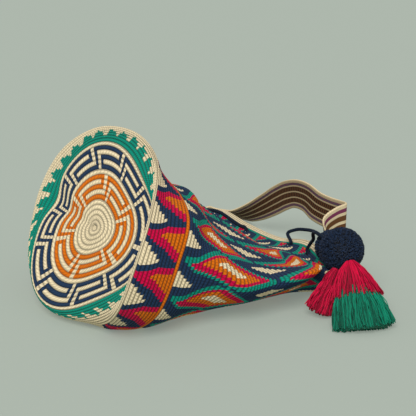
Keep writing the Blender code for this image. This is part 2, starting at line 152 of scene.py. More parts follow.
def linear(value: float) -> float:
    """Turn a screen value from 0 to 255 into a linear one from 0 to 1."""
    value = value / 255
    return value / 12.92 if value <= 0.04045 else ((value + 0.055) / 1.055) ** 2.4


class Yarn(Enum):
    """The yarns, by their colour as it looks on a screen."""

    BEIGE = (242, 223, 182)
    ORANGE = (222, 112, 6)
    MAGENTA = (206, 0, 68)
    TEAL = (0, 146, 122)
    NAVY = (30, 54, 84)
    LINING = (170, 150, 118)
    CORD = (22, 38, 58)
    PILE = (14, 28, 48)
    STRAND_MAGENTA = (214, 0, 62)
    STRAND_TEAL = (4, 138, 106)
    STRAP_BEIGE = (226, 206, 166)
    STRAP_PURPLE = (126, 52, 86)
    STRAP_BROWN = (104, 66, 34)
    # STRAP_OLIVE and STRAP_DARK: partly the strap's darker reverse weave, partly painted shade
    STRAP_OLIVE = (178, 160, 124)
    STRAP_DARK = (58, 36, 22)
    STRAP_GREEN = (44, 84, 78)
    FLOOR = (174, 184, 173)

    @property
    def colour(self) -> tuple:
        """Return the colour as linear red, green and blue."""
        return tuple(linear(part) for part in self.value)


@dataclass(frozen=True)
class FibreFinish:
    """A yarn surface, coloured by the piece's own attribute or by one yarn.

    Fibre and depth are lengths in metres, patches are broad patches to a metre, and
    the other numbers are shares.
    """

    name: str
    yarn: Yarn | None = None
    rough: float = 0.85
    sheen: float = 0.05
    fibre: float = 0.0012
    depth: float = 0.0003
    worn: float = 0.12
    patches: float = 28.0
    broad_share: float = 0.3
    specular: float = 0.12

    def tone(self, make: NodeMaker, tint: Value) -> Value:
        """Return the base colour, varied in small and large patches.

        Args:
            make: What adds the material's nodes.
            tint: The yarn's own colour.

        Returns:
            The base colour.
        """
        fine = make.noise(1 / self.fibre, 3.0, 0.6)
        broad = make.noise(self.patches, 2.0)
        patchy = fine * (1 - self.broad_share) + broad * self.broad_share
        return make.shaded(tint, 1 - self.worn + self.worn * 2 * patchy)

    def relief(self, make: NodeMaker) -> Value:
        """Return the height of the fibres, from 0 to 1."""
        return make.noise(1 / self.fibre, 2.0)

    def tint(self, make: NodeMaker) -> Value:
        """Return the yarn's colour, or the piece's own yarn attribute.

        Args:
            make: What adds the material's nodes.

        Returns:
            The colour, times the piece's tone with its painted light and shade, where it has one yarn.
        """
        if self.yarn is None:
            return make.value("ShaderNodeAttribute", 0, {"attribute_name": "yarn"})
        tone = make.value("ShaderNodeAttribute", 2, {"attribute_name": "tone"})
        return make.shaded((*self.yarn.colour, 1.0), tone)

    def material(self) -> bpy.types.Material:
        """Return the finish as a material, made on first use.

        Returns:
            The material.
        """
        found = bpy.data.materials.get(self.name)
        if found is not None:
            return found
        material = bpy.data.materials.new(self.name)
        material.use_nodes = True
        material.node_tree.nodes.clear()
        make = NodeMaker(material.node_tree)
        bump = make.value("ShaderNodeBump", 0, {}, {
            "Strength": 1.0, "Distance": self.depth, "Height": self.relief(make)})
        shader = make.value("ShaderNodeBsdfPrincipled", 0, {}, {
            "Base Color": self.tone(make, self.tint(make)), "Roughness": self.rough,
            "Sheen Weight": self.sheen, "Sheen Roughness": 0.5, "Specular IOR Level": self.specular,
            "Normal": bump})
        make.node("ShaderNodeOutputMaterial", {}, {"Surface": shader})
        return material


@dataclass(frozen=True)
class CrochetFinish(FibreFinish):
    """Tight crochet: each round is a rib, and each rib shows its slanting loops.

    Slant is how far a loop leans over one round, in stitches. Groove is how much
    painted shade darkens the yarn between ribs, and loop_share how much of that
    painted shade lies between the loops.
    Heights are the shares of the ribs, the loops and the fibres in the relief.
    """

    slant: float = 0.8
    groove: float = 0.62
    loop_share: float = 0.38
    rib_edge: float = 0.7
    loop_edge: float = 0.6
    heights: tuple = (0.5, 0.4, 0.1)

    def ribs(self, make: NodeMaker) -> tuple[Value, Value]:
        """Return the height of the ribs and of the loops in them, from 0 to 1.

        Args:
            make: What adds the material's nodes.

        Returns:
            The ribs' height and the loops' height.
        """
        place = make.value("ShaderNodeUVMap", 0, {"uv_map": "stitches"})
        split = make.node("ShaderNodeSeparateXYZ", {}, {0: place})
        stitch, line = Value(make, split.outputs[0]), Value(make, split.outputs[1])
        rib = make.math("ABSOLUTE", make.math("COSINE", line * math.pi))
        loop = make.math("ABSOLUTE", make.math("SINE", (stitch + line * self.slant) * math.pi))
        return rib ** self.rib_edge, loop ** self.loop_edge

    def relief(self, make: NodeMaker) -> Value:
        """Return the height of ribs, loops and fibres, from 0 to 1.

        Args:
            make: What adds the material's nodes.

        Returns:
            The height.
        """
        rib, loop = self.ribs(make)
        high, middle, low = self.heights
        return rib * high + loop * rib * middle + FibreFinish.relief(self, make) * low

    def tone(self, make: NodeMaker, tint: Value) -> Value:
        """Return the yarn's colour, with painted shade in the grooves between ribs and loops.

        Args:
            make: What adds the material's nodes.
            tint: The yarn's own colour.

        Returns:
            The base colour.
        """
        rib, loop = self.ribs(make)
        # painted shade: darker in the grooves between the ribs and between the loops
        lit = 1 - self.loop_share + self.loop_share * loop
        return make.shaded(FibreFinish.tone(self, make, tint), 1 - self.groove + self.groove * rib * lit)


CROCHET = CrochetFinish("crochet_cotton", rough=0.85, fibre=0.0011, depth=0.0018)
WOVEN = FibreFinish("woven_cotton", rough=0.82, fibre=0.0008, depth=0.0003)
TWISTED = FibreFinish("twisted_cotton", Yarn.CORD, rough=0.75, fibre=0.0009, depth=0.0003)
CUT_PILE = FibreFinish("cut_pile", Yarn.PILE, rough=0.7, sheen=0.1)
MAGENTA_STRANDS = FibreFinish("magenta_strands", Yarn.STRAND_MAGENTA, rough=0.5, fibre=0.002)
TEAL_STRANDS = FibreFinish("teal_strands", Yarn.STRAND_TEAL, rough=0.5, fibre=0.002)


# Meshes
def unit(vector: np.ndarray) -> np.ndarray:
    """Return vectors at length one, along their last axis."""
    vector = np.asarray(vector, float)
    return vector / np.maximum(np.linalg.norm(vector, axis=-1, keepdims=True), 1e-9)


def smooth(knots: np.ndarray, values: np.ndarray, wanted: np.ndarray) -> np.ndarray:
    """Read a smooth curve through values, given at rising knots.

    Args:
        knots: Where the values stand along the curve.
        values: One value, point or row of points for each knot.
        wanted: Where to read the curve.

    Returns:
        The curve's values at the wanted places.
    """
    knots = np.asarray(knots, float)
    values = np.asarray(values, float)
    steps = np.diff(knots)
    shape = (-1,) + (1,) * (values.ndim - 1)
    slopes = np.diff(values, axis=0) / steps.reshape(shape)
    before, after = steps[:-1].reshape(shape), steps[1:].reshape(shape)
    inner = (slopes[:-1] * after + slopes[1:] * before) / (before + after)
    tangents = np.concatenate([slopes[:1], inner, slopes[-1:]])
    wanted = np.atleast_1d(np.asarray(wanted, float))
    at = np.clip(np.searchsorted(knots, wanted, side="right") - 1, 0, len(steps) - 1)
    span = steps[at].reshape(shape)
    t = ((wanted - knots[at]) / steps[at]).reshape(shape)
    return (
        values[at] * (1 + 2 * t) * (1 - t) ** 2
        + tangents[at] * span * t * (1 - t) ** 2
        + values[at + 1] * t * t * (3 - 2 * t)
        + tangents[at + 1] * span * t * t * (t - 1)
    )


def walked(points: np.ndarray) -> np.ndarray:
    """Return how far along a line of points each one lies."""
    steps = np.linalg.norm(np.diff(points, axis=0), axis=1)
    return np.concatenate([[0], np.cumsum(steps)])


def resampled(points: np.ndarray, step: float, fine: int = 8) -> np.ndarray:
    """Return points on a smooth curve through a line of points, a step apart.

    Args:
        points: The line, from one end to the other.
        step: How far apart the new points are.
        fine: How many points the curve is drawn with for each point given.

    Returns:
        The new points.
    """
    points = np.asarray(points, float)
    along = walked(points)
    curve = smooth(along, points, np.linspace(0, along[-1], fine * len(points)))
    along = walked(curve)
    return smooth(along, curve, np.linspace(0, along[-1], round(along[-1] / step) + 1))


def in_scene(name: str, data: bpy.types.ID) -> bpy.types.Object:
    """Make an object from its data, at the origin, and put it in the scene.

    Args:
        name: The object's name.
        data: Its mesh, lamp or camera.

    Returns:
        The object.
    """
    thing = bpy.data.objects.new(name, data)
    bpy.context.scene.collection.objects.link(thing)
    return thing


def piece_from(name: str, points: np.ndarray, faces: list, finish: FibreFinish) -> bpy.types.Object:
    """Make a smooth-shaded piece from points in millimetres.

    Args:
        name: The piece's name.
        points: Its points, in millimetres.
        faces: The points of each face.
        finish: What it is made of.

    Returns:
        The piece.
    """
    mesh = bpy.data.meshes.new(name)
    mesh.from_pydata((np.asarray(points, float) * MM).tolist(), [], faces)
    mesh.materials.append(finish.material())
    mesh.shade_smooth()
    return in_scene(name, mesh)


def face_outward(mesh: bpy.types.Mesh) -> None:
    """Turn a closed mesh the right way out.

    Args:
        mesh: The mesh, which is changed in place.
    """
    shape = bmesh.new()
    shape.from_mesh(mesh)
    bmesh.ops.recalc_face_normals(shape, faces=shape.faces)
    if shape.calc_volume(signed=True) < 0:
        bmesh.ops.reverse_faces(shape, faces=shape.faces)
    shape.to_mesh(mesh)
    shape.free()


def add_tone(mesh: bpy.types.Mesh, tones: np.ndarray) -> None:
    """Store how bright each point is: its yarn's tone, with any painted light and shade."""
    layer = mesh.attributes.new("tone", "FLOAT", "POINT")
    layer.data.foreach_set("value", np.asarray(tones, np.float32))


def add_yarns(mesh: bpy.types.Mesh, colours: np.ndarray) -> None:
    """Store a colour on every face of a mesh, given in the order of its faces.

    Args:
        mesh: The piece's mesh.
        colours: Red, green and blue for each face.
    """
    counts = np.empty(len(mesh.polygons), np.int32)
    mesh.polygons.foreach_get("loop_total", counts)
    layer = mesh.color_attributes.new("yarn", "FLOAT_COLOR", "CORNER")
    colours = np.repeat(np.asarray(colours, np.float32), counts, axis=0)
    layer.data.foreach_set("color", np.concatenate(
        [colours, np.ones((len(colours), 1), np.float32)], axis=1).ravel())


def ring_quads(first: int, second: int, count: int) -> list:
    """Return the quads between two closed rings that start at these points.

    Args:
        first: Where the first ring starts in the mesh.
        second: Where the second ring starts.
        count: How many points each ring has.

    Returns:
        The corners of each quad.
    """
    return [
        (first + i, first + (i + 1) % count, second + (i + 1) % count, second + i)
        for i in range(count)
    ]


def lofted(rings: np.ndarray) -> tuple[np.ndarray, list]:
    """Return the points and faces of a closed solid through rings, with flat ends.

    Args:
        rings: The rings in order, each with the same number of points.

    Returns:
        The points in one list, and the corners of each face.
    """
    total, count = rings.shape[:2]
    faces = []
    for step in range(total - 1):
        faces += ring_quads(step * count, (step + 1) * count, count)
    last = (total - 1) * count
    faces.append(tuple(range(count))[::-1])
    faces.append(tuple(range(last, last + count)))
    return rings.reshape(-1, 3), faces


def frames_along(points: np.ndarray, start: tuple) -> tuple[np.ndarray, np.ndarray]:
    """Return two directions across a line of points, turning as little as they can.

    Args:
        points: The line's points.
        start: A direction that the line does not start along.

    Returns:
        Two directions at each point, square to the line and to each other.
    """
    tangents = unit(np.gradient(points, axis=0))
    across = unit(np.cross(tangents[0], start))
    sides = []
    for tangent in tangents:
        across = unit(across - tangent * across.dot(tangent))
        sides.append(across)
    sides = np.array(sides)
    return sides, np.cross(tangents, sides)


class GeometryMaker(NodeMaker):
    """Builds one Geometry Nodes tree, runs it on a mesh and returns a plain mesh."""

    def __init__(self, name: str, inputs: dict) -> None:
        """Start a tree with a geometry input and these named numbers.

        Args:
            name: The tree's name.
            inputs: Its numbers by name: counts as whole numbers, sizes in metres.
        """
        group = bpy.data.node_groups.new(name, "GeometryNodeTree")
        group.interface.new_socket("Geometry", in_out="INPUT", socket_type="NodeSocketGeometry")
        group.interface.new_socket("Geometry", in_out="OUTPUT", socket_type="NodeSocketGeometry")
        for label, value in inputs.items():
            kind = "NodeSocketInt" if isinstance(value, int) else "NodeSocketFloat"
            group.interface.new_socket(label, in_out="INPUT", socket_type=kind)
        super().__init__(group)
        self.inputs = inputs
        self.source = self.node("NodeGroupInput")

    def given(self, label: str) -> Value:
        """Return one of the tree's inputs."""
        return Value(self, self.source.outputs[label])

    def joined(self, *shapes: Value) -> Value:
        """Join geometries into one.

        Args:
            *shapes: The geometries.

        Returns:
            All of them as one.
        """
        node = self.node("GeometryNodeJoinGeometry")
        for shape in shapes:
            self.tree.links.new(shape.socket, node.inputs[0])
        return Value(self, node.outputs[0])

    def run(self, shape: Value, piece: bpy.types.Object, finish: FibreFinish) -> bpy.types.Object:
        """End the tree, apply it to a piece and leave a plain mesh.

        Args:
            shape: The tree's last geometry.
            piece: The piece whose mesh goes in.
            finish: The material that comes out.

        Returns:
            The piece, with its new mesh.
        """
        real = self.value("GeometryNodeRealizeInstances", 0, {}, {0: shape})
        dressed = self.value("GeometryNodeSetMaterial", 0, {}, {0: real, "Material": finish.material()})
        self.node("NodeGroupOutput", {}, {0: dressed})
        modifier = piece.modifiers.new("maker", "NODES")
        modifier.node_group = self.tree
        for item in self.tree.interface.items_tree:
            if item.in_out == "INPUT" and item.name in self.inputs:
                modifier[item.identifier] = self.inputs[item.name]
        ready = piece.evaluated_get(bpy.context.evaluated_depsgraph_get())
        mesh = bpy.data.meshes.new_from_object(ready)
        piece.modifiers.remove(modifier)
        piece.data = mesh
        mesh.name = piece.name
        return piece


def dress(piece: bpy.types.Object, node: str) -> bpy.types.Object:
    """Let a piece ride on the bag and stand for its CAD node, which is hidden.

    Args:
        piece: The piece.
        node: The CAD node that it stands for.

    Returns:
        The same piece.
    """
    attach(piece, "root")
    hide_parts(node)
    return piece


# Bag
@dataclass(frozen=True)
class Hoop:
    """One round of the wall: where it stands, how it leans, and its outline.

    The outline's (y, z) points start at the foot, run up the side at -Y, over the
    top and down the side at +Y. x grows by lean for each z and by turn for each y,
    and the side at -Y stands forward by reach.
    """

    round: float
    foot: float
    lean: float
    turn: float
    reach: float
    outline: tuple

    def points(self, count: int) -> np.ndarray:
        """Return the hoop's points, evenly spaced from its foot.

        Args:
            count: How many points to return.

        Returns:
            The points, one in each row.
        """
        outline = np.array(self.outline, float)
        y, z = outline[:, 0], outline[:, 1]
        forward = np.clip(y / y.min(), 0, 1) ** 2
        x = self.foot + self.lean * z + self.turn * y - self.reach * forward
        points = even_loop(np.stack([x, y, z], 1), count)
        points[:, 2] = np.maximum(points[:, 2], 0)
        return points


def even_loop(corners: np.ndarray, count: int, ease: float = 0.7, steps: int = 40) -> np.ndarray:
    """Read count evenly spaced points off a smooth closed curve through corners.

    Args:
        corners: The points that the curve goes through, once round.
        count: How many points to return.
        ease: How much the spacing of the corners counts, from 0 to 1.
        steps: How many points the curve is drawn with between two corners.

    Returns:
        The points, one in each row.
    """
    size = len(corners)
    ring = corners[np.arange(-2, size + 3) % size]
    knots = np.concatenate([[0], np.cumsum(np.linalg.norm(np.diff(ring, axis=0), axis=1) ** ease)])
    fine = smooth(knots, ring, np.linspace(knots[2], knots[-3], steps * size + 1))
    along = walked(fine)
    stops = np.arange(count) / count * along[-1]
    return np.stack([np.interp(stops, along, fine[:, axis]) for axis in range(3)], 1)


HOOPS = (
    Hoop(22, -124, 0.53, -0.09, 18, (
        (0, 7), (-54, 24), (-91, 55), (-99, 97), (-80, 140), (-45, 178), (2, 194),
        (60, 188), (97, 153), (110, 107), (95, 54), (52, 17))),
    Hoop(26, -105, 0.48, -0.09, 46, (
        (0, 1), (-56, 13), (-97, 44), (-107, 90), (-94, 136), (-56, 176), (2, 193),
        (68, 188), (117, 156), (130, 106), (108, 50), (58, 6))),
    Hoop(29, -95, 0.46, -0.09, 38, (
        (5, 0), (-59, 6), (-101, 37), (-115, 85), (-96, 132), (-55, 165), (0, 176),
        (67, 168), (120, 140), (133, 97), (113, 46), (65, 3))),
    Hoop(35, -66, 0.48, -0.03, 18, (
        (10, 0), (-64, 0), (-108, 28), (-118, 82), (-108, 119), (-55, 140), (4, 145),
        (67, 140), (120, 117), (134, 80), (117, 29), (71, 2))),
    Hoop(41, -35, 0.46, 0.05, 2, (
        (12, 0), (-64, 0), (-107, 25), (-128, 76), (-100, 96), (-50, 131), (3, 128),
        (66, 110), (130, 103), (148, 64), (123, 17), (68, 0))),
    Hoop(47, -5, 0.48, 0.14, -26, (
        (18, 0), (-65, 0), (-116, 24), (-143, 47), (-103, 76), (-40, 103), (2, 113),
        (50, 78), (123, 77), (158, 46), (127, 4), (68, 0))),
    Hoop(54, 32, 0.70, 0.19, -28, (
        (20, 0), (-67, 3), (-122, 20), (-146, 43), (-97, 56), (-34, 76), (-8, 82),
        (30, 54), (114, 52), (157, 32), (129, 0), (64, 0))),
    Hoop(62, 81, 1.00, 0.17, -5, (
        (5, 0), (-72, 2), (-128, 20), (-162, 52), (-109, 44), (-56, 48), (-8, 48),
        (48, 30), (120, 36), (157, 22), (122, 1), (62, 0))),
    Hoop(70, 128, 0.88, 0.15, 16, (
        (0, 0), (-72, 2), (-122, 14), (-150, 43), (-100, 40), (-42, 34), (9, 29),
        (68, 17), (134, 30), (170, 20), (124, 1), (57, 0))),
    Hoop(76, 166, 0.80, 0.10, 26, (
        (-5, 5), (-78, 5.5), (-130, 9), (-156, 34), (-105, 23), (-44, 26), (10, 20),
        (75, 19), (139, 24), (170, 15), (127, 4.5), (57, 5))),
    Hoop(82, 200, 0.45, 0.08, 28, (
        (-9, 8.5), (-79, 8.5), (-134, 8.5), (-155, 23), (-105, 24), (-44, 31), (10, 21),
        (76, 21), (139, 24), (169, 15), (131, 5.5), (56, 8.5))),
)


@dataclass(frozen=True)
class BaseDisc:
    """The round base: it leans back, has three soft corners and one crease."""

    centre: tuple = (-76.0, -2.0, 100.0)
    lean: float = math.radians(30.0)
    turn: float = math.radians(5.0)
    pitch: float = 5.75
    rounds: int = 16
    corners: int = 3
    corner_turn: float = 0.915
    corner_swell: tuple = (0.060, 0.0020)
    pitch_loss: float = 0.0035
    heavy_side: float = 0.0035
    heavy_turn: float = 0.82
    stretch: float = 0.0026
    stretch_turn: float = 0.46
    crease_turn: float = 0.72
    crease_width: float = 0.035
    crease_pull: float = 0.0040
    crease_depth: float = 6.0

    def axes(self) -> tuple[np.ndarray, np.ndarray, np.ndarray]:
        """Return the disc's sideways, upward and outward directions.

        Returns:
            Three directions of length one.
        """
        side = np.array([-math.sin(self.turn), math.cos(self.turn), 0])
        up = np.array([
            math.sin(self.lean) * math.cos(self.turn),
            math.sin(self.lean) * math.sin(self.turn),
            math.cos(self.lean),
        ])
        return side, up, np.cross(up, side)

    def points(self, number: float, count: int) -> np.ndarray:
        """Return points round the disc at one round, from its lowest point.

        Args:
            number: The round, counted from the middle.
            count: How many points to return.

        Returns:
            The points, one in each row.
        """
        side, up, out = self.axes()
        turn = np.arange(count) / count
        turn = turn + self.stretch * number * np.cos(TURN * (turn - self.stretch_turn))
        swell = self.corner_swell[0] + self.corner_swell[1] * number
        crease = np.exp(-(((turn - self.crease_turn) / self.crease_width) ** 2))
        radius = self.pitch * number * (
            1
            - self.pitch_loss * number
            + swell * np.cos(TURN * self.corners * (turn - self.corner_turn))
            + self.heavy_side * number * np.cos(TURN * (turn - self.heavy_turn))
            - self.crease_pull * number * crease
        )
        depth = self.crease_depth * crease * number / self.rounds
        angle = TURN * turn
        return (
            np.array(self.centre)
            - (radius * np.cos(angle))[:, None] * up
            - (radius * np.sin(angle))[:, None] * side
            - depth[:, None] * out
        )


@dataclass(frozen=True)
class Pattern:
    """Which yarn each stitch of the bag has: a traditional geometric crochet pattern.

    Rings on the base are their first and last rounds, number of motifs, start round
    the bag and yarn. Hooks are a motif's lines, up to each of its stitches. Drifts are
    how far the columns stray at some rounds, in stitches, from their even lean. A
    lozenge's parts lie this many stitches or more from its middle, along the rows and
    along its slant.
    """

    stitches: int = 208
    repeat: int = 13
    lean: float = 0.47
    start: float = 52.9
    rings: tuple = ((6, 10, 6, 0.1517, Yarn.ORANGE), (12, 16, 10, 0.0395, Yarn.NAVY))
    ring_stitches: int = 11
    hooks: tuple = (
        (1, (0, 1, 2, 3, 4)), (2, (0,)), (3, (0, 2, 3, 4)), (9, (0, 2, 4)), (10, (0, 1, 2, 4)),
        (11, (4,)))
    teal_rounds: tuple = (18, 19)
    castle_round: int = 20
    castle_teeth: int = 32
    castle_steps: float = 5.0
    castle_widths: tuple = (4, 3, 1)
    wedge_shift: int = 3
    drifts: tuple = ((27, -5.2), (32, -1.2), (38, -1.2), (42, -3.0), (46, -2.6), (50, -1.2), (57, 0.0))
    band_round: int = 27
    wedge_first: int = 2
    wedge_edge: tuple = (6, 2, 3)
    cream_first: float = 7.0
    cream_loss: float = 1.4
    stripe_round: int = 37
    lattice_round: int = 38
    line_from: int = 6
    heart_to: int = 2
    magenta_from: tuple = (5, 4)
    orange_from: tuple = (3, 2)
    rim_round: int = 97

    def ring_yarn(self, ring: tuple, row: int, turn: float) -> Yarn:
        """Return the yarn of one stitch in a ring of hooked lines on the base.

        Args:
            ring: The ring, one of the pattern's rings.
            row: The stitch's round.
            turn: How far round the bag it is, from 0 to 1.

        Returns:
            The yarn.
        """
        first, _, motifs, start, yarn = ring
        step = (turn - start) * motifs % 1 * self.ring_stitches
        lines = next((lines for end, lines in self.hooks if step < end), ())
        return yarn if row - first in lines else Yarn.BEIGE

    def first_stitch(self, row: int) -> int:
        """Return the stitch at the bag's foot in a round."""
        return round(self.start + self.lean * (row - self.lattice_round))

    def band_yarn(self, row: int, stitch: int) -> Yarn:
        """Return the yarn of one stitch in the band of wedges.

        Args:
            row: The stitch's round.
            stitch: Its place along the slanting columns of the wall.

        Returns:
            The yarn.
        """
        risen = row - self.band_round
        width = risen + self.wedge_first
        step = (stitch + self.wedge_shift) % self.repeat
        wide, left, right = self.wedge_edge
        if step < width:
            return Yarn.ORANGE if width >= wide and left <= step < width - right else Yarn.MAGENTA
        cream = round(self.cream_first - self.cream_loss * risen)
        gap = self.wedge_first
        in_cream = step >= width + gap and self.repeat - gap - cream <= step < self.repeat - gap
        return Yarn.BEIGE if in_cream else Yarn.NAVY

    def lattice_yarn(self, row: int, stitch: int) -> Yarn:
        """Return the yarn of one stitch in the slanting chequered lattice.

        Args:
            row: The stitch's round.
            stitch: Its place along the slanting columns of the wall.

        Returns:
            The yarn.
        """
        slid = stitch - (row - self.lattice_round)
        across, along = round(stitch / self.repeat), round(slid / self.repeat)
        level, slanted = abs(stitch - self.repeat * across), abs(slid - self.repeat * along)
        near = max(level, slanted)
        if (across - along) % 2 == 0:
            if level >= self.line_from > slanted:
                return Yarn.TEAL
            return Yarn.NAVY if near > self.heart_to else Yarn.BEIGE
        if near >= self.line_from:
            return Yarn.TEAL
        for yarn, (ends, sides) in ((Yarn.MAGENTA, self.magenta_from), (Yarn.ORANGE, self.orange_from)):
            if level >= ends or slanted >= sides:
                return yarn
        return Yarn.BEIGE

    def yarn(self, row: int, turn: float, stitch: int) -> Yarn:
        """Return a stitch's yarn.

        Args:
            row: The round it is in.
            turn: How far round the bag it is, from 0 to 1.
            stitch: Its place along the slanting columns of the wall.

        Returns:
            The yarn.
        """
        for ring in self.rings:
            if ring[0] <= row <= ring[1]:
                return self.ring_yarn(ring, row, turn)
        if row in self.teal_rounds or row == self.rim_round:
            return Yarn.TEAL
        if self.castle_round <= row < self.castle_round + len(self.castle_widths):
            tooth = -turn * self.castle_teeth % 1 * self.castle_steps
            return Yarn.TEAL if tooth < self.castle_widths[row - self.castle_round] else Yarn.BEIGE
        if row == self.stripe_round:
            return Yarn.ORANGE
        if self.band_round <= row < self.stripe_round:
            return self.band_yarn(row, stitch)
        if self.lattice_round <= row < self.rim_round:
            return self.lattice_yarn(row, stitch)
        return Yarn.BEIGE


@dataclass(frozen=True)
class Band:
    """A band of rounds with the same number of points in each ring.

    First and last are rounds, count is the points in a ring, and start is how far
    round the bag the first one lies, from 0 to 1. Leaning bands follow the stitches.
    """

    first: int
    last: int
    count: int
    start: float = 0.0
    leaning: bool = False


@dataclass
class Ring:
    """One ring of points on a skin of the bag.

    Number is its round, turns say how far round the bag each point lies, lift is how
    far it stands off the surface, and start is its first point in the mesh.
    """

    number: float
    band: Band
    turns: np.ndarray
    lift: float = 0.0
    start: int = 0


@dataclass
class Fabric:
    """The bag's faces, with the stitch at each corner and the colour of each face."""

    faces: list = field(default_factory=list)
    places: list = field(default_factory=list)
    colours: list = field(default_factory=list)

    def add(self, face: tuple, places: list, colour: tuple) -> None:
        """Add one face.

        Args:
            face: Its points in the mesh.
            places: The stitch and the round at each of its corners.
            colour: Its red, green and blue.
        """
        self.faces.append(face)
        self.places.extend(places)
        self.colours.append(colour)


@dataclass
class CrochetBag:
    """The base, wall and mouth: one closed crocheted skin with eight eyelets.

    Levels are a round's rings: how far into the round each one lies, and how far it
    stands off the surface. Loop is how far every second point stands out from it.
    Eyelet span and cut are the rounds and the columns that an eyelet takes, from its
    middle. The rim reaches rim_depth rounds down the inner side from there.
    """

    disc: BaseDisc = BaseDisc()
    pattern: Pattern = Pattern()
    last_round: int = 100
    eyelet_round: int = 96
    row_places: tuple = ((0, 0), (27, 27), (38, 34.3), (100, 82))
    cad_columns: int = 64
    eyelet_columns: tuple = (2, 10, 19, 24, 28, 36, 50, 57)
    eyelet_span: tuple = (-1.5, 0.5)
    eyelet_cut: tuple = (-2, -1, 0, 1)
    rim_depth: float = 2.2
    wall: float = 3.0
    base_wall: float = 6.0
    flat_levels: tuple = ((-0.5, -0.3), (-0.2, 0.15), (0.2, 0.15))
    leaning_levels: tuple = ((-0.5, -0.55), (0.0, 0.35))
    loop: float = 0.16
    fine: int = 640
    beside: float = 0.3
    first_place: float = 0.2
    floor_below: float = 0.6
    sole: float = 0.3
    bands: tuple = (
        Band(1, 5, 66), Band(6, 11, 132, 0.1517 % (1 / 66)), Band(12, 17, 220, 0.0395 % (1 / 110)),
        Band(18, 100, 416, 0.0, True))
    lining_points: int = 160
    lining_rounds: tuple = (5, 10, 14, 32, 36, 40, 46, 52, 58, 63, 69, 75, 81, 87, 91)
    plain_place: tuple = (0.25, 0.25)
    rim_and_lining_shade: float = 0.9
    uneven: float = 0.10
    seed: int = 7

    def __post_init__(self) -> None:
        """Work out how bright each stitch is, beside the others."""
        spread = np.random.default_rng(self.seed).random((self.last_round + 2, self.bands[-1].count))
        self.jitter = 1 + self.uneven * (spread - 0.5)

    def surface(self, rounds: list, count: int) -> np.ndarray:
        """Return the bag's middle surface: one row of points for each round.

        Args:
            rounds: The rounds, counted as the hoops are.
            count: How many points each round has.

        Returns:
            The points, by round, by place round the bag and by axis.
        """
        disc = list(range(0, self.disc.rounds + 1, 2))
        knots = disc + [hoop.round for hoop in HOOPS]
        rows = [self.disc.points(number, count) for number in disc]
        rows += [hoop.points(count) for hoop in HOOPS]
        surface = smooth(knots, rows, rounds)
        surface[:, :, 2] = np.maximum(surface[:, :, 2], 0)
        return surface

    def place(self, row: float) -> float:
        """Return where a row of stitches lies, counted as the hoops are."""
        return float(np.interp(row, *zip(*self.row_places)))

    def normals(self, surface: np.ndarray) -> np.ndarray:
        """Return the outward direction at each point of a grid of rounds.

        Args:
            surface: The grid, as the method surface gives it.

        Returns:
            A direction of length one for each point.
        """
        along = np.gradient(surface, axis=0)
        around = np.roll(surface, -1, 1) - np.roll(surface, 1, 1)
        return unit(np.cross(along, around))

    def stitch_turn(self, number: float, stitch: np.ndarray) -> np.ndarray:
        """Return how far round the bag a stitch of the leaning columns lies.

        Args:
            number: The round, counted in rows of stitches.
            stitch: The stitch's place along the slanting columns.

        Returns:
            Its place round the bag, in turns.
        """
        plan = self.pattern
        number = min(number, plan.rim_round + 0.5)
        drift = plan.lean * (number - plan.lattice_round) + float(np.interp(number, *zip(*plan.drifts)))
        return (plan.start + drift - stitch) / plan.stitches

    def rings(self) -> list[Ring]:
        """Return the outer skin's rings, from the middle of the base to the lip.

        Returns:
            The rings, in order.
        """
        rings = []
        for band in self.bands:
            column = np.arange(band.count)
            turns = band.start + column / band.count
            for number in range(band.first, band.last + 1):
                for shift, lift in self.leaning_levels if band.leaning else self.flat_levels:
                    place = number + shift
                    if band.leaning:
                        first = self.pattern.first_stitch(band.first)
                        turns = self.stitch_turn(place, first - column / 2)
                    rings.append(Ring(min(place, self.last_round), band, turns, lift))
        rings.append(replace(rings[-1], lift=self.leaning_levels[0][1]))
        return sorted(rings, key=lambda ring: ring.number)

    def placed(self, rings: list[Ring], sunk: float) -> list:
        """Return each ring's points on the surface, or sunk below it on the inner side.

        Args:
            rings: The rings of one skin.
            sunk: How deep the wall's inner skin lies, or 0 for the outer skin.

        Returns:
            The points of each ring.
        """
        numbers = [self.place(ring.number) for ring in rings]
        spread = [number + shift for number in numbers for shift in (-self.beside, 0, self.beside)]
        grid = self.surface(np.clip(spread, self.first_place, self.place(self.last_round)), self.fine)
        placed = []
        for index, ring in enumerate(rings):
            trio = grid[3 * index:3 * index + 3]
            normals = self.normals(trio)[1]
            at = (ring.turns % 1) * self.fine
            low = np.floor(at).astype(int) % self.fine
            after = (low + 1) % self.fine
            share = (at - np.floor(at))[:, None]
            points = trio[1][low] * (1 - share) + trio[1][after] * share
            normal = unit(normals[low] * (1 - share) + normals[after] * share)
            if sunk:
                depth = self.base_wall if ring.number <= self.disc.rounds else sunk
                placed.append(points - depth * normal)
                continue
            lift = ring.lift + np.where(np.arange(ring.band.count) % 2, self.loop, -self.loop)
            row = points + lift[:, None] * normal
            flat = points[:, 2] < self.floor_below
            row[:, 2] = np.maximum(np.where(flat, self.sole - lift, row[:, 2]), 0)
            placed.append(row)
        return placed

    def zipped(self, first: Ring, second: Ring) -> list:
        """Return triangles between two rings with different numbers of points.

        Args:
            first: The ring nearer to the middle of the base.
            second: The ring nearer to the mouth.

        Returns:
            The triangles, as corners that are a ring and a column in it.
        """
        n, m = len(first.turns), len(second.turns)
        turns = second.turns - round(float(second.turns[0] - first.turns[0]))
        i = j = 0
        faces = []
        while i < n or j < m:
            next_first = first.turns[(i + 1) % n] + (i + 1) // n if i < n else math.inf
            next_second = turns[(j + 1) % m] + (j + 1) // m if j < m else math.inf
            if next_first <= next_second:
                faces.append(((first, i), (first, i + 1), (second, j)))
                i += 1
            else:
                faces.append(((first, i), (second, j + 1), (second, j)))
                j += 1
        return faces

    def in_eyelets(self, ring: Ring) -> bool:
        """Say whether a ring lies within the height of the eyelets."""
        low, high = self.eyelet_span
        return low <= ring.number - self.eyelet_round <= high

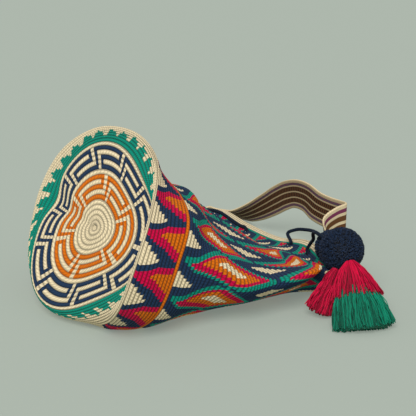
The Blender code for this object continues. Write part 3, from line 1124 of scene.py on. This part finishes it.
    def open_columns(self, ring: Ring) -> set:
        """Return the columns of a ring's faces that the eyelets leave open.

        Args:
            ring: The ring just below the eyelets.

        Returns:
            The columns, by their number in the ring.
        """
        columns = set()
        for eyelet in self.eyelet_columns:
            middle = (eyelet + 0.5) / self.cad_columns
            nearest = int(np.argmin(np.abs((ring.turns - middle + 0.5) % 1 - 0.5)))
            columns |= {(nearest + shift) % ring.band.count for shift in self.eyelet_cut}
        return columns

    def add_skin(self, fabric: Fabric, rings: list[Ring], opened: set, outside: bool) -> None:
        """Add the faces between the rings of one skin, seen from outside the bag.

        Args:
            fabric: What the faces are added to.
            rings: The skin's rings, from the base to the lip.
            opened: The columns that the eyelets leave open.
            outside: Whether this is the outer skin, with the pattern, or the lining.
        """
        colour = self.stitch_colour if outside else self.lining_colour
        for first, second in zip(rings, rings[1:]):
            if first.band.count == second.band.count:
                skipped = opened if self.in_eyelets(first) and self.in_eyelets(second) else ()
                faces = [((first, column), (first, column + 1), (second, column + 1), (second, column))
                         for column in range(first.band.count) if column not in skipped]
            else:
                faces = self.zipped(first, second)
            for face in faces:
                low, column = min(face, key=lambda corner: (corner[0].start, corner[1]))
                row = math.floor(sum(ring.number for ring, _ in face) / len(face) + 0.5)
                turned = face if outside else face[::-1]
                fabric.add(tuple(ring.start + at % ring.band.count for ring, at in turned),
                           [(at / 2, ring.number) for ring, at in turned], colour(row, low, column))

    def build(self) -> bpy.types.Object:
        """Make the crocheted skin and dress it.

        Returns:
            The bag, which stands for the solid bag_body.
        """
        outer = self.rings()
        rim = [replace(ring) for ring in outer if ring.number > self.eyelet_round - self.rim_depth]
        lining = Band(0, 0, self.lining_points)
        turns = np.arange(self.lining_points) / self.lining_points
        inner = [Ring(number, lining, turns) for number in self.lining_rounds] + rim
        middle = np.array(self.disc.centre)
        points = [middle, middle - self.base_wall * self.disc.axes()[2]]
        for rings, sunk in ((outer, 0), (inner, self.wall)):
            for ring, row in zip(rings, self.placed(rings, sunk)):
                ring.start = len(points)
                points += list(row)
        opened = self.open_columns(rim[0])
        fabric = Fabric()
        self.add_skin(fabric, outer, opened, outside=True)
        self.add_skin(fabric, inner, opened, outside=False)
        self.close(fabric, outer, inner, opened)
        bag = piece_from("crochet_bag", points, fabric.faces, CROCHET)
        add_yarns(bag.data, np.array(fabric.colours))
        layer = bag.data.uv_layers.new(name="stitches")
        layer.data.foreach_set("uv", np.array(fabric.places, np.float32).ravel())
        face_outward(bag.data)
        return dress(bag, "bag_body")

    def close(self, fabric: Fabric, outer: list[Ring], inner: list[Ring], opened: set) -> None:
        """Close the poles and the lip in the rim's yarn, darkened as painted shade, and line
        the eyelets in navy as painted shade in the holes.

        Args:
            fabric: What the faces are added to.
            outer: The outer skin's rings.
            inner: The inner skin's rings.
            opened: The columns that the eyelets leave open.
        """
        count = self.bands[-1].count
        extra = []
        for pole, ring, step in ((0, outer[0], 1), (1, inner[0], -1)):
            for column in range(ring.band.count):
                after = (column + 1) % ring.band.count
                extra.append((pole, ring.start + after, ring.start + column)[::step])
        extra += ring_quads(outer[-1].start, inner[-1].start, count)
        plain = len(extra)
        fronts = [ring.start for ring in outer if self.in_eyelets(ring)]
        backs = [ring.start for ring in inner if self.in_eyelets(ring)]
        for column in sorted(opened):
            for beside, edge, step in ((column - 1, column, 1), (column + 1, column + 1, -1)):
                if beside % count in opened:
                    continue
                spot = edge % count
                for a, b, c, d in zip(fronts, fronts[1:], backs[1:], backs):
                    extra.append((a + spot, b + spot, c + spot, d + spot)[::step])
            after = (column + 1) % count
            for end, step in ((0, -1), (-1, 1)):
                front, back = fronts[end], backs[end]
                extra.append((front + column, front + after, back + after, back + column)[::step])
        # painted shade: the poles and the lip are the rim's beige, darkened
        rim = tuple(self.rim_and_lining_shade * part for part in Yarn.BEIGE.colour)
        for index, face in enumerate(extra):
            # the eyelet walls are navy: painted shade in the holes
            colour = rim if index < plain else Yarn.NAVY.colour
            fabric.add(face, [self.plain_place] * len(face), colour)

    def stitch_colour(self, row: int, ring: Ring, column: int) -> tuple:
        """Return the colour of the stitch that a face belongs to.

        Args:
            row: The round that the face is in.
            ring: The ring at the face's lower edge.
            column: The face's first column in that ring.

        Returns:
            Red, green and blue.
        """
        count, half = ring.band.count, column // 2
        turn = float(ring.turns[2 * half % count]) + 2 * half // count
        stitch = self.pattern.first_stitch(ring.band.first) - half - 1
        yarn = self.pattern.yarn(row, (turn + 1 / count) % 1, stitch)
        bright = self.jitter[min(row, self.last_round), half % self.jitter.shape[1]]
        return tuple(float(min(part * bright, 1)) for part in yarn.colour)

    def lining_colour(self, row: int, _ring: Ring, column: int) -> tuple:
        """Return the colour of the fabric's inner side, darkened as painted shade.

        Args:
            row: The round that the face is in.
            _ring: The ring at the face's lower edge, which has no say here.
            column: The face's first column in that ring.

        Returns:
            Red, green and blue.
        """
        yarn = Yarn.BEIGE if row > self.pattern.rim_round else Yarn.LINING
        bright = self.jitter[row, column % self.jitter.shape[1]]
        # painted shade: the inner side is darkened
        return tuple(float(part * bright * self.rim_and_lining_shade) for part in yarn.colour)


# Drawstring
@dataclass
class Drawstring:
    """A twisted cord laced through the eyelets, from one pompom to the other.

    Runs are pairs of eyelets, by their columns, that the cord joins on one side.
    Over_bend is how much further off the rim it runs where the rim bends sharply.
    Drawn is how much thicker its twisted plies look than the plain cord. Bright and
    dark are painted light on the plies and painted shade in the grooves between them.
    """

    bag: CrochetBag
    radius: float = 2.0
    clear: float = 0.5
    low: float = 0.3
    drawn_low: float = 0.1
    slope: float = 0.36
    over_bend: float = 0.5
    plies: int = 3
    ply_sides: int = 5
    groove: float = 0.14
    bright: float = 1.15
    dark: float = 0.40
    drawn: float = 1.17
    twist: float = 11.0
    step: float = 1.25
    back_arc: tuple = (
        (197, -17, 37), (201, -27, 43), (202, -43, 47), (199, -60, 50), (192, -78, 51),
        (187, -90, 50), (184.9, -95.8, 50))
    front_arc: tuple = (
        (188, -66, 38), (183, -76, 47), (171, -88, 60), (159, -105, 69), (155, -118, 69),
        (154, -130.4, 66.8))
    outside_runs: tuple = ((36, 50), (57, 66), (74, 83))
    inside_runs: tuple = ((28, 36), (50, 57), (66, 74), (83, 88))

    def rim_point(self, column: float, height: float) -> np.ndarray:
        """Return a point of the eyelet line, at a height off the rim's outer side.

        Args:
            column: The place round the rim, counted as the eyelets are.
            height: How far off the rim's outer side, below 0 for the inner side.

        Returns:
            The point.
        """
        bag = self.bag
        middle = bag.place(bag.eyelet_round - 0.5)
        rows = bag.surface([middle - 1, middle, middle + 1], bag.cad_columns)
        normals = bag.normals(rows)[1]
        first = math.floor(column)
        share = column - first
        here, after = first % bag.cad_columns, (first + 1) % bag.cad_columns
        before = (first - 1) % bag.cad_columns
        if height > 0:
            height *= 1 + self.over_bend * (1 - normals[before].dot(normals[after]))
        place = rows[1][here] * (1 - share) + rows[1][after] * share
        point = place + height * unit(normals[here] * (1 - share) + normals[after] * share)
        point[2] = max(point[2], self.radius + self.low)
        return point

    def route(self) -> list:
        """Return the cord's middle line in millimetres, from the back pompom to the front one.

        Returns:
            The points that the cord goes through.
        """
        outside = self.radius + self.clear
        inside = -self.bag.wall - outside
        through = -self.bag.wall / 2
        runs = sorted([(run, outside) for run in self.outside_runs]
                      + [(run, inside) for run in self.inside_runs])
        first, last = runs[0][0][0] + 0.5, runs[-1][0][1] + 0.5
        route = [self.rim_point(first - self.slope, outside)]
        for (start, end), height in runs:
            route.append(self.rim_point(start + 0.5, through))
            route.append(self.rim_point(start + 0.5 + self.slope, height))
            route += [self.rim_point(column, height) for column in range(start + 2, end)]
            route.append(self.rim_point(end + 0.5 - self.slope, height))
        route.append(self.rim_point(last, through))
        route.append(self.rim_point(last + self.slope, outside))
        back = [np.array(point, float) for point in self.back_arc][::-1]
        return back + route + [np.array(point, float) for point in self.front_arc]

    def build(self) -> bpy.types.Object:
        """Returns:
            The cord, which stands for the solid drawstring.
        """
        middles = resampled(np.array(self.route()), self.step)
        middles[:, 2] = np.maximum(middles[:, 2], self.drawn * self.radius + self.drawn_low)
        sides, ups = frames_along(middles, (0.3, 0.5, 0.8))
        along = walked(middles)
        angles = TURN * np.arange(self.plies * self.ply_sides) / (self.plies * self.ply_sides)
        roll = TURN * along / self.twist
        around = angles[None, :] + roll[:, None]
        hollow = np.abs(np.cos(self.plies * angles / 2))
        reach = self.drawn * self.radius * (1 - self.groove * hollow)[None, :, None]
        rings = (middles[:, None] + reach * np.cos(around)[..., None] * sides[:, None]
                 + reach * np.sin(around)[..., None] * ups[:, None])
        points, faces = lofted(rings)
        cord = piece_from("drawstring_cord", points, faces, TWISTED)
        # painted light on the plies, painted shade in the grooves between them
        tones = self.bright - (self.bright - self.dark) * hollow
        add_tone(cord.data, np.tile(tones, len(middles)))
        face_outward(cord.data)
        dress(cord, "drawstring")
        path = middles * MM
        LOG.info("drawstring is %.3f m long", along[-1] * MM)
        return cord


# Strap
class StrapFace(Enum):
    """The stripes across each face of the strap, as yarns and widths in millimetres."""

    LIGHT = (
        (Yarn.STRAP_BEIGE, 4.5), (Yarn.STRAP_PURPLE, 5.5), (Yarn.STRAP_BEIGE, 3.5), (Yarn.STRAP_BROWN, 7),
        (Yarn.STRAP_BEIGE, 4), (Yarn.STRAP_BROWN, 7), (Yarn.STRAP_BEIGE, 3.5), (Yarn.STRAP_PURPLE, 5.5),
        (Yarn.STRAP_BEIGE, 4.5))
    # the dark face: partly its own darker weave, partly painted shade on the face turned away from the
    # light
    DARK = (
        (Yarn.STRAP_OLIVE, 4), (Yarn.STRAP_PURPLE, 4), (Yarn.STRAP_OLIVE, 2), (Yarn.STRAP_DARK, 7),
        (Yarn.STRAP_OLIVE, 2), (Yarn.STRAP_DARK, 7), (Yarn.STRAP_OLIVE, 2), (Yarn.STRAP_DARK, 7),
        (Yarn.STRAP_OLIVE, 2), (Yarn.STRAP_PURPLE, 4), (Yarn.STRAP_OLIVE, 4))


@dataclass
class Strap:
    """The woven band that arches behind the mouth and comes down beside it.

    The route gives places on its middle line, each with the direction across it.
    Flecks come every few rows, and rung is how much browner the dark stripes are there.
    """

    width: float = 45.0
    thick: float = 2.6
    step: float = 1.0
    threads: int = 45
    rib: float = 0.22
    thin_edge: float = 0.3
    low: float = 0.3
    shades: tuple = (0.86, 1.08)
    fleck: int = 3
    rung: float = 0.95
    route: tuple = (
        ((199.3, -57, 10), (-0.21, -0.98, 0.0)),
        ((219, -54, 30), (-0.36, -0.72, 0.60)),
        ((227, -58, 46), (-0.55, -0.15, 0.83)),
        ((239, -60, 51), (-0.18, -0.10, 0.98)),
        ((253, -60, 52), (0.0, -0.03, 1.0)),
        ((255, -46, 53), (-0.02, -0.20, 0.98)),
        ((251, -32, 56), (-0.04, -0.36, 0.93)),
        ((247, -14, 61), (-0.08, -0.42, 0.90)),
        ((245, 2, 69), (-0.16, -0.38, 0.91)),
        ((244, 18, 70), (-0.20, -0.30, 0.93)),
        ((243, 36, 64), (-0.24, -0.16, 0.96)),
        ((243, 52, 55), (-0.28, -0.12, 0.95)),
        ((242, 78, 39), (-0.40, -0.22, 0.88)),
        ((240, 103, 25), (-0.62, -0.30, 0.72)),
        ((243, 127, 15), (-0.82, -0.20, 0.53)),
        ((245, 150, 11), (-0.80, -0.30, 0.48)),
        ((240, 174, 10), (-0.60, -0.66, 0.45)),
        ((226, 196, 10), (0.10, -0.90, 0.40)))

    def thread_yarns(self, face: StrapFace, row: int) -> list:
        """Return the colour of each thread across one face, with its flecks.

        Args:
            face: The face of the strap.
            row: The row of the weave, counted along the strap.

        Returns:
            Red, green and blue for each thread.
        """
        colours = []
        edges = np.cumsum([width for _, width in face.value])
        for thread in range(self.threads):
            place = (thread + 0.5) / self.threads * edges[-1]
            yarn = face.value[int(np.searchsorted(edges, place))][0]
            in_fleck = face is StrapFace.DARK and (row // self.fleck + thread) % 2
            if in_fleck and yarn is Yarn.STRAP_PURPLE:
                yarn = Yarn.STRAP_GREEN
            shade = self.shades[(row + thread) % 2]
            light = self.rung if yarn is Yarn.STRAP_DARK and row % self.fleck == 0 else 0.0
            colours.append(tuple(
                min((part * (1 - light) + other * light) * shade, 1)
                for part, other in zip(yarn.colour, Yarn.STRAP_BROWN.colour)))
        return colours

    def build(self) -> bpy.types.Object:
        """Returns:
            The strap, which stands for the solid strap.
        """
        centres = np.array([station[0] for station in self.route], float)
        widths = np.array([station[1] for station in self.route], float)
        along = walked(centres)
        stops = np.linspace(0, along[-1], round(along[-1] / self.step) + 1)
        middles = smooth(along, centres, stops)
        across = unit(smooth(along, widths, stops))
        faces_out = unit(np.cross(unit(np.gradient(middles, axis=0)), across))
        shares = np.linspace(0.5, -0.5, self.threads + 1)
        over = (np.arange(len(stops))[:, None] + np.arange(self.threads + 1)[None]) % 2
        half = np.where(np.abs(shares) == shares[0], self.thick * self.thin_edge, self.thick / 2)
        lift = half[None] + np.where(over, self.rib / 2, -self.rib / 2)
        flat = middles[:, None] + self.width * shares[None, :, None] * across[:, None]
        rise = lift[..., None] * faces_out[:, None]
        rings = np.concatenate([flat + rise, (flat - rise)[:, ::-1]], axis=1)
        rings[:, :, 2] = np.maximum(rings[:, :, 2], self.low)
        points, faces = lofted(rings)
        colours = []
        for line in range(len(stops) - 1):
            light = self.thread_yarns(StrapFace.LIGHT, line)
            dark = self.thread_yarns(StrapFace.DARK, line)
            colours += light + [light[-1]] + dark[::-1] + [light[0]]
        colours += [Yarn.STRAP_BEIGE.colour] * 2
        strap = piece_from("woven_strap_band", points, faces, WOVEN)
        add_yarns(strap.data, np.array(colours))
        face_outward(strap.data)
        dress(strap, "strap")
        LOG.info("strap shows %.3f m", along[-1] * MM)
        return strap


# Pompoms
@dataclass
class Pompom:
    """A ball of cut yarn: a core darkened as painted shade, under short tufts that stand out from it.

    Tones, lengths and tilt are the range of a tuft's brightness, length and lean.
    """

    name: str
    node: str
    centre: tuple
    radius: float
    tufts: int
    seed: int
    core_share: float = 0.80
    core_shade: float = 0.35
    core_detail: int = 4
    tuft_sides: int = 5
    tuft_thick: float = 0.75
    tuft_tip: float = 0.8
    tuft_reach: float = 1.12
    tones: tuple = (0.45, 2.6)
    lengths: tuple = (0.8, 1.06)
    tilt: tuple = (0.35, 0.35, 3.1)

    def build(self) -> bpy.types.Object:
        """Make the pompom's tufts with Geometry Nodes.

        Returns:
            The pompom, which stands for its CAD node.
        """
        core = self.radius * self.core_share
        shape = bmesh.new()
        bmesh.ops.create_icosphere(shape, subdivisions=self.core_detail, radius=core * MM,
                                   matrix=Matrix.Translation(Vector(self.centre) * MM))
        mesh = bpy.data.meshes.new(self.name)
        shape.to_mesh(mesh)
        shape.free()
        pompom = in_scene(self.name, mesh)
        # painted shade: the core under the tufts is darkened
        add_tone(mesh, np.full(len(mesh.vertices), self.core_shade))
        area = 4 * math.pi * (core * MM) ** 2
        make = GeometryMaker(self.name, {
            "Density": self.tufts / area, "Seed": self.seed,
            "Length": (self.radius - core) * self.tuft_reach * MM, "Thick": self.tuft_thick * MM})
        shape_in = make.given("Geometry")
        spread = make.node("GeometryNodeDistributePointsOnFaces", {}, {
            "Mesh": shape_in, "Density": make.given("Density"), "Seed": make.given("Seed")})
        tone = make.value("FunctionNodeRandomValue", 1, {}, {
            2: self.tones[0], 3: self.tones[1], "Seed": 3})
        toned = make.value("GeometryNodeStoreNamedAttribute", 0, {"data_type": "FLOAT"}, {
            0: Value(make, spread.outputs["Points"]), "Name": "tone", "Value": tone})
        cone = make.value("GeometryNodeMeshCone", 0, {"fill_type": "NGON"}, {
            "Vertices": self.tuft_sides, "Side Segments": 1, "Radius Bottom": make.given("Thick"),
            "Radius Top": make.given("Thick") * self.tuft_tip, "Depth": make.given("Length")})
        tilt = make.value("FunctionNodeRandomValue", 0, {"data_type": "FLOAT_VECTOR"}, {
            0: tuple(-part for part in self.tilt), 1: self.tilt, "Seed": 5})
        turned = make.value("FunctionNodeRotateRotation", 0, {"rotation_space": "LOCAL"}, {
            0: Value(make, spread.outputs["Rotation"]),
            1: make.value("FunctionNodeEulerToRotation", 0, {}, {0: tilt})})
        stretch = make.value("FunctionNodeRandomValue", 1, {}, {
            2: self.lengths[0], 3: self.lengths[1], "Seed": 8})
        planted = make.value("GeometryNodeInstanceOnPoints", 0, {}, {
            "Points": toned, "Instance": cone, "Rotation": turned,
            "Scale": make.value("ShaderNodeCombineXYZ", 0, {}, {0: 1.0, 1: 1.0, 2: stretch})})
        make.run(make.joined(planted, shape_in), pompom, CUT_PILE)
        return dress(pompom, self.node)


# Tassels
@dataclass
class Bundle:
    """A bundle of loose strands that fall from a tassel's top and spread.

    Stations are shares of the tassel's length with half the bundle's width and
    depth there. Strands start at the share begin and end about the last station.
    Ragged is how unevenly they end, late_share how much of that lies past the last
    station, and round_off how much sooner they end at the sides. Wave is how far they
    sway across the bundle, wave_through how much of that they sway through it, and
    wave_growth how soon the sway sets in.
    """

    name: str
    node: str
    slot: str
    finish: FibreFinish
    top: tuple
    bottom: tuple
    stations: tuple
    begin: float
    strands: int
    seed: int
    ragged: float = 0.05
    late_share: float = 0.4
    round_off: float = 0.0
    thick: float = 0.62
    wave: float = 1.1
    waves: tuple = (1.0, 2.4)
    wave_growth: float = 4.0
    wave_through: float = 0.5
    side: tuple = (0.8, -0.6, 0.0)
    spread: tuple = (0.35, 1.0)
    tones: tuple = (0.35, 1.2)
    shaded_inside: float = 0.45
    shaded_end: float = 0.35
    steps: int = 9
    sides: int = 4
    core_share: float = 0.72
    core_steps: int = 8
    core_sides: int = 16
    core_shade: float = 0.5
    core_floor: float = 0.4

    def axes(self) -> tuple[np.ndarray, np.ndarray, np.ndarray]:
        """Return the whole way down the tassel, and the directions across and through it.

        Returns:
            The way down in millimetres, and two directions of length one.
        """
        fall = np.array(self.bottom, float) - self.top
        run = unit(fall)
        side = unit(np.array(self.side) - run * run.dot(self.side))
        return fall, side, np.cross(run, side)

    def girth(self, share: np.ndarray) -> tuple[np.ndarray, np.ndarray]:
        """Return half the width and half the depth at shares of the length."""
        plan = np.array(self.stations)
        return (np.interp(share, plan[:, 0], plan[:, 1]), np.interp(share, plan[:, 0], plan[:, 2]))

    def lines(self) -> tuple[list, list, list]:
        """Return the strands' points, the edges between them and each point's tone.

        Returns:
            The points in millimetres, pairs of points, and a tone for each point.
        """
        rng = np.random.default_rng(self.seed)
        fall, side, face = self.axes()
        points, edges, tones = [], [], []
        last = self.stations[-1][0]
        for _ in range(self.strands):
            angle = TURN * rng.random()
            radial = math.sqrt(rng.uniform(*self.spread))
            end = last + rng.uniform(-self.ragged, self.ragged * self.late_share)
            end -= self.round_off * (radial * math.cos(angle)) ** 2
            share = np.linspace(self.begin, end, self.steps)
            wide, deep = self.girth(share)
            phase, pace = rng.uniform(0, TURN), rng.uniform(*self.waves)
            drift = self.wave * np.sin(phase + pace * TURN * share)
            drift *= np.clip((share - self.begin) * self.wave_growth, 0, 1)
            sideways = radial * wide * math.cos(angle) + drift
            through = radial * deep * math.sin(angle) + self.wave_through * drift[::-1]
            line = (self.top + share[:, None] * fall
                    + sideways[:, None] * side + through[:, None] * face)
            line[:, 2] = np.maximum(line[:, 2], self.thick)
            first = len(points)
            points += list(line)
            edges += [(first + step, first + step + 1) for step in range(self.steps - 1)]
            bright = rng.uniform(*self.tones) * (1 - self.shaded_inside * (1 - radial))
            tones += [bright * (1 - self.shaded_end * step / self.steps) for step in range(self.steps)]
        return points, edges, tones

    def core(self) -> tuple[np.ndarray, list]:
        """Return a closed solid that fills the middle of the bundle.

        Returns:
            The points in millimetres, and the corners of each face.
        """
        fall, side, face = self.axes()
        share = np.linspace(self.begin, self.stations[-1][0] - self.ragged, self.core_steps)
        wide, deep = self.girth(share)
        angles = TURN * np.arange(self.core_sides) / self.core_sides
        rings = (self.top + share[:, None, None] * fall
                 + self.core_share * (wide[:, None, None] * np.cos(angles)[None, :, None] * side
                                      + deep[:, None, None] * np.sin(angles)[None, :, None] * face))
        rings[:, :, 2] = np.maximum(rings[:, :, 2], self.core_floor)
        return lofted(rings)

    def build(self) -> bpy.types.Object:
        """Make the strands as tubes with Geometry Nodes, round a core darkened as painted shade.

        Returns:
            The bundle, which stands for its CAD node.
        """
        points, edges, tones = self.lines()
        core_points, core_faces = self.core()
        mesh = bpy.data.meshes.new(self.name)
        shift = len(points)
        everything = np.concatenate([np.array(points), core_points]) * MM
        mesh.from_pydata(everything.tolist(), edges,
                         [tuple(shift + index for index in face) for face in core_faces])
        # painted shade: the core in the middle of the bundle is darkened
        add_tone(mesh, np.array(tones + [self.core_shade] * len(core_points)))
        bundle = in_scene(self.name, mesh)
        make = GeometryMaker(self.name, {
            "Strand": self.thick * MM, "Sides": self.sides, "Strand points": shift})
        shape_in = make.given("Geometry")
        index = make.value("GeometryNodeInputIndex", 0)
        is_strand = make.value("FunctionNodeCompare", 0, {"data_type": "INT", "operation": "LESS_THAN"}, {
            2: index, 3: make.given("Strand points")})
        parts = make.node("GeometryNodeSeparateGeometry", {"domain": "POINT"}, {
            0: shape_in, 1: is_strand})
        curves = make.value("GeometryNodeMeshToCurve", 0, {}, {0: Value(make, parts.outputs[0])})
        ring = make.value("GeometryNodeCurvePrimitiveCircle", 0, {}, {
            "Resolution": make.given("Sides"), "Radius": make.given("Strand")})
        tubes = make.value("GeometryNodeCurveToMesh", 0, {}, {
            "Curve": curves, "Profile Curve": ring, "Fill Caps": True})
        make.run(make.joined(tubes, Value(make, parts.outputs[1])), bundle, self.finish)
        return dress(bundle, self.node)


# Stage
@dataclass
class Studio:
    """The plain floor, soft light and camera of the photo."""

    place: tuple = (-0.7278, -1.0043, 0.4990)
    azimuth: float = -38.97
    elevation: float = 17.62
    roll: float = 0.57
    lens: float = 100.0
    floor_radius: float = 14.0
    floor_glow: float = 0.45
    sky: float = 0.42
    sun: float = 2.55
    sun_angle: float = math.radians(35)
    sun_tilt: tuple = (math.radians(27), math.radians(-38), 0.0)

    def camera(self) -> None:
        """Set the camera at the photo's viewing angle."""
        turn, rise = math.radians(self.azimuth), math.radians(self.elevation)
        back = Vector((math.sin(turn) * math.cos(rise), -math.cos(turn) * math.cos(rise), math.sin(rise)))
        right = Vector((math.cos(turn), math.sin(turn), 0.0))
        right = Matrix.Rotation(-math.radians(self.roll), 3, back) @ right
        up = back.cross(right)
        data = bpy.data.cameras.new("camera")
        data.lens = self.lens
        data.clip_start = 0.01
        camera = in_scene("camera", data)
        camera.rotation_mode = "QUATERNION"
        camera.location = self.place
        camera.rotation_quaternion = Matrix((right, up, back)).transposed().to_quaternion()
        bpy.context.scene.camera = camera

    def floor(self) -> None:
        """Lay the plain floor, in the photo's pale green."""
        shape = bmesh.new()
        bmesh.ops.create_circle(shape, cap_ends=True, segments=96, radius=self.floor_radius)
        mesh = bpy.data.meshes.new("floor")
        shape.to_mesh(mesh)
        shape.free()
        material = bpy.data.materials.new("floor")
        material.use_nodes = True
        shader = material.node_tree.nodes["Principled BSDF"]
        shader.inputs["Roughness"].default_value = 1.0
        shader.inputs["Specular IOR Level"].default_value = 0.0
        shader.inputs["Emission Color"].default_value = (*Yarn.FLOOR.colour, 1.0)
        shader.inputs["Emission Strength"].default_value = self.floor_glow
        shader.inputs["Base Color"].default_value = (
            *(part * (1 - self.floor_glow) for part in Yarn.FLOOR.colour), 1.0)
        mesh.materials.append(material)
        in_scene("floor", mesh)

    def light(self) -> None:
        """Light the set with one broad soft lamp and an even sky."""
        lamp = bpy.data.lights.new("key", "SUN")
        lamp.energy = self.sun
        lamp.angle = self.sun_angle
        in_scene("key", lamp).rotation_euler = self.sun_tilt
        world = bpy.data.worlds.new("sky")
        bpy.context.scene.world = world
        world.use_nodes = True
        world.node_tree.nodes.clear()
        make = NodeMaker(world.node_tree)
        seen = make.node("ShaderNodeLightPath")
        near = make.value("ShaderNodeBackground", 0, {}, {
            "Color": (1.0, 1.0, 1.0, 1.0), "Strength": self.sky})
        far = make.value("ShaderNodeBackground", 0, {}, {
            "Color": (*Yarn.FLOOR.colour, 1.0), "Strength": 1.0})
        mixed = make.value("ShaderNodeMixShader", 0, {}, {
            0: Value(make, seen.outputs["Is Camera Ray"]), 1: near, 2: far})
        make.node("ShaderNodeOutputWorld", {}, {"Surface": mixed})

    def build(self) -> None:
        """Set the camera, floor and light, and the plain view."""
        self.camera()
        self.floor()
        self.light()
        bpy.context.scene.view_settings.view_transform = "Standard"


def tassels() -> list:
    """Return the four bundles of the two tassels.

    Returns:
        The skirt and the brush of the front tassel, then of the back one.
    """
    front = {"top": (138.5, -179, 58.6), "bottom": (113, -226, 8)}
    back = {"top": (131, -167, 48.2), "bottom": (101, -169, 8)}
    return [
        Bundle("front_skirt_strands", "tassel_front_skirt", "magenta_yarn", MAGENTA_STRANDS, **front,
               stations=((0, 5, 4), (0.12, 14, 8.5), (0.30, 21, 10.5), (0.58, 30, 12.5)),
               begin=0.0, strands=420, seed=11, ragged=0.07),
        Bundle("front_brush_strands", "tassel_front_brush", "teal_yarn", TEAL_STRANDS, **front,
               stations=((0.3, 14, 7), (0.52, 23, 10), (0.75, 30, 11), (1.12, 35, 12)),
               begin=0.42, strands=700, seed=12, ragged=0.04, round_off=0.09),
        Bundle("back_skirt_strands", "tassel_back_skirt", "magenta_yarn", MAGENTA_STRANDS, **back,
               stations=((0, 5, 5), (0.2, 9, 7), (0.5, 11.5, 8.5)),
               begin=0.0, strands=170, seed=13, ragged=0.06),
        Bundle("back_brush_strands", "tassel_back_brush", "magenta_yarn", MAGENTA_STRANDS, **back,
               stations=((0.3, 9, 6.5), (0.45, 11, 7.5), (0.72, 14, 8), (1.05, 16, 9)),
               begin=0.38, strands=260, seed=14, ragged=0.05, round_off=0.08),
    ]


def main() -> None:
    """Build every piece of the bag and log it."""
    logging.basicConfig(level=logging.INFO, format="%(message)s")
    Studio().build()
    bag = CrochetBag()
    makers = [
        Drawstring(bag),
        bag,
        Strap(),
        Pompom("front_pompom_pile", "pompom_front", (150, -155, 63.5), 25.0, 3600, 21),
        Pompom("back_pompom_pile", "pompom_back", (177, -115, 49.5), 21.0, 2400, 22),
    ] + tassels()
    for maker in makers:
        piece = maker.build()
        triangles = sum(len(face.vertices) - 2 for face in piece.data.polygons)
        LOG.info("%s has %d triangles", piece.name, triangles)


if __name__ == "__main__":
    main()
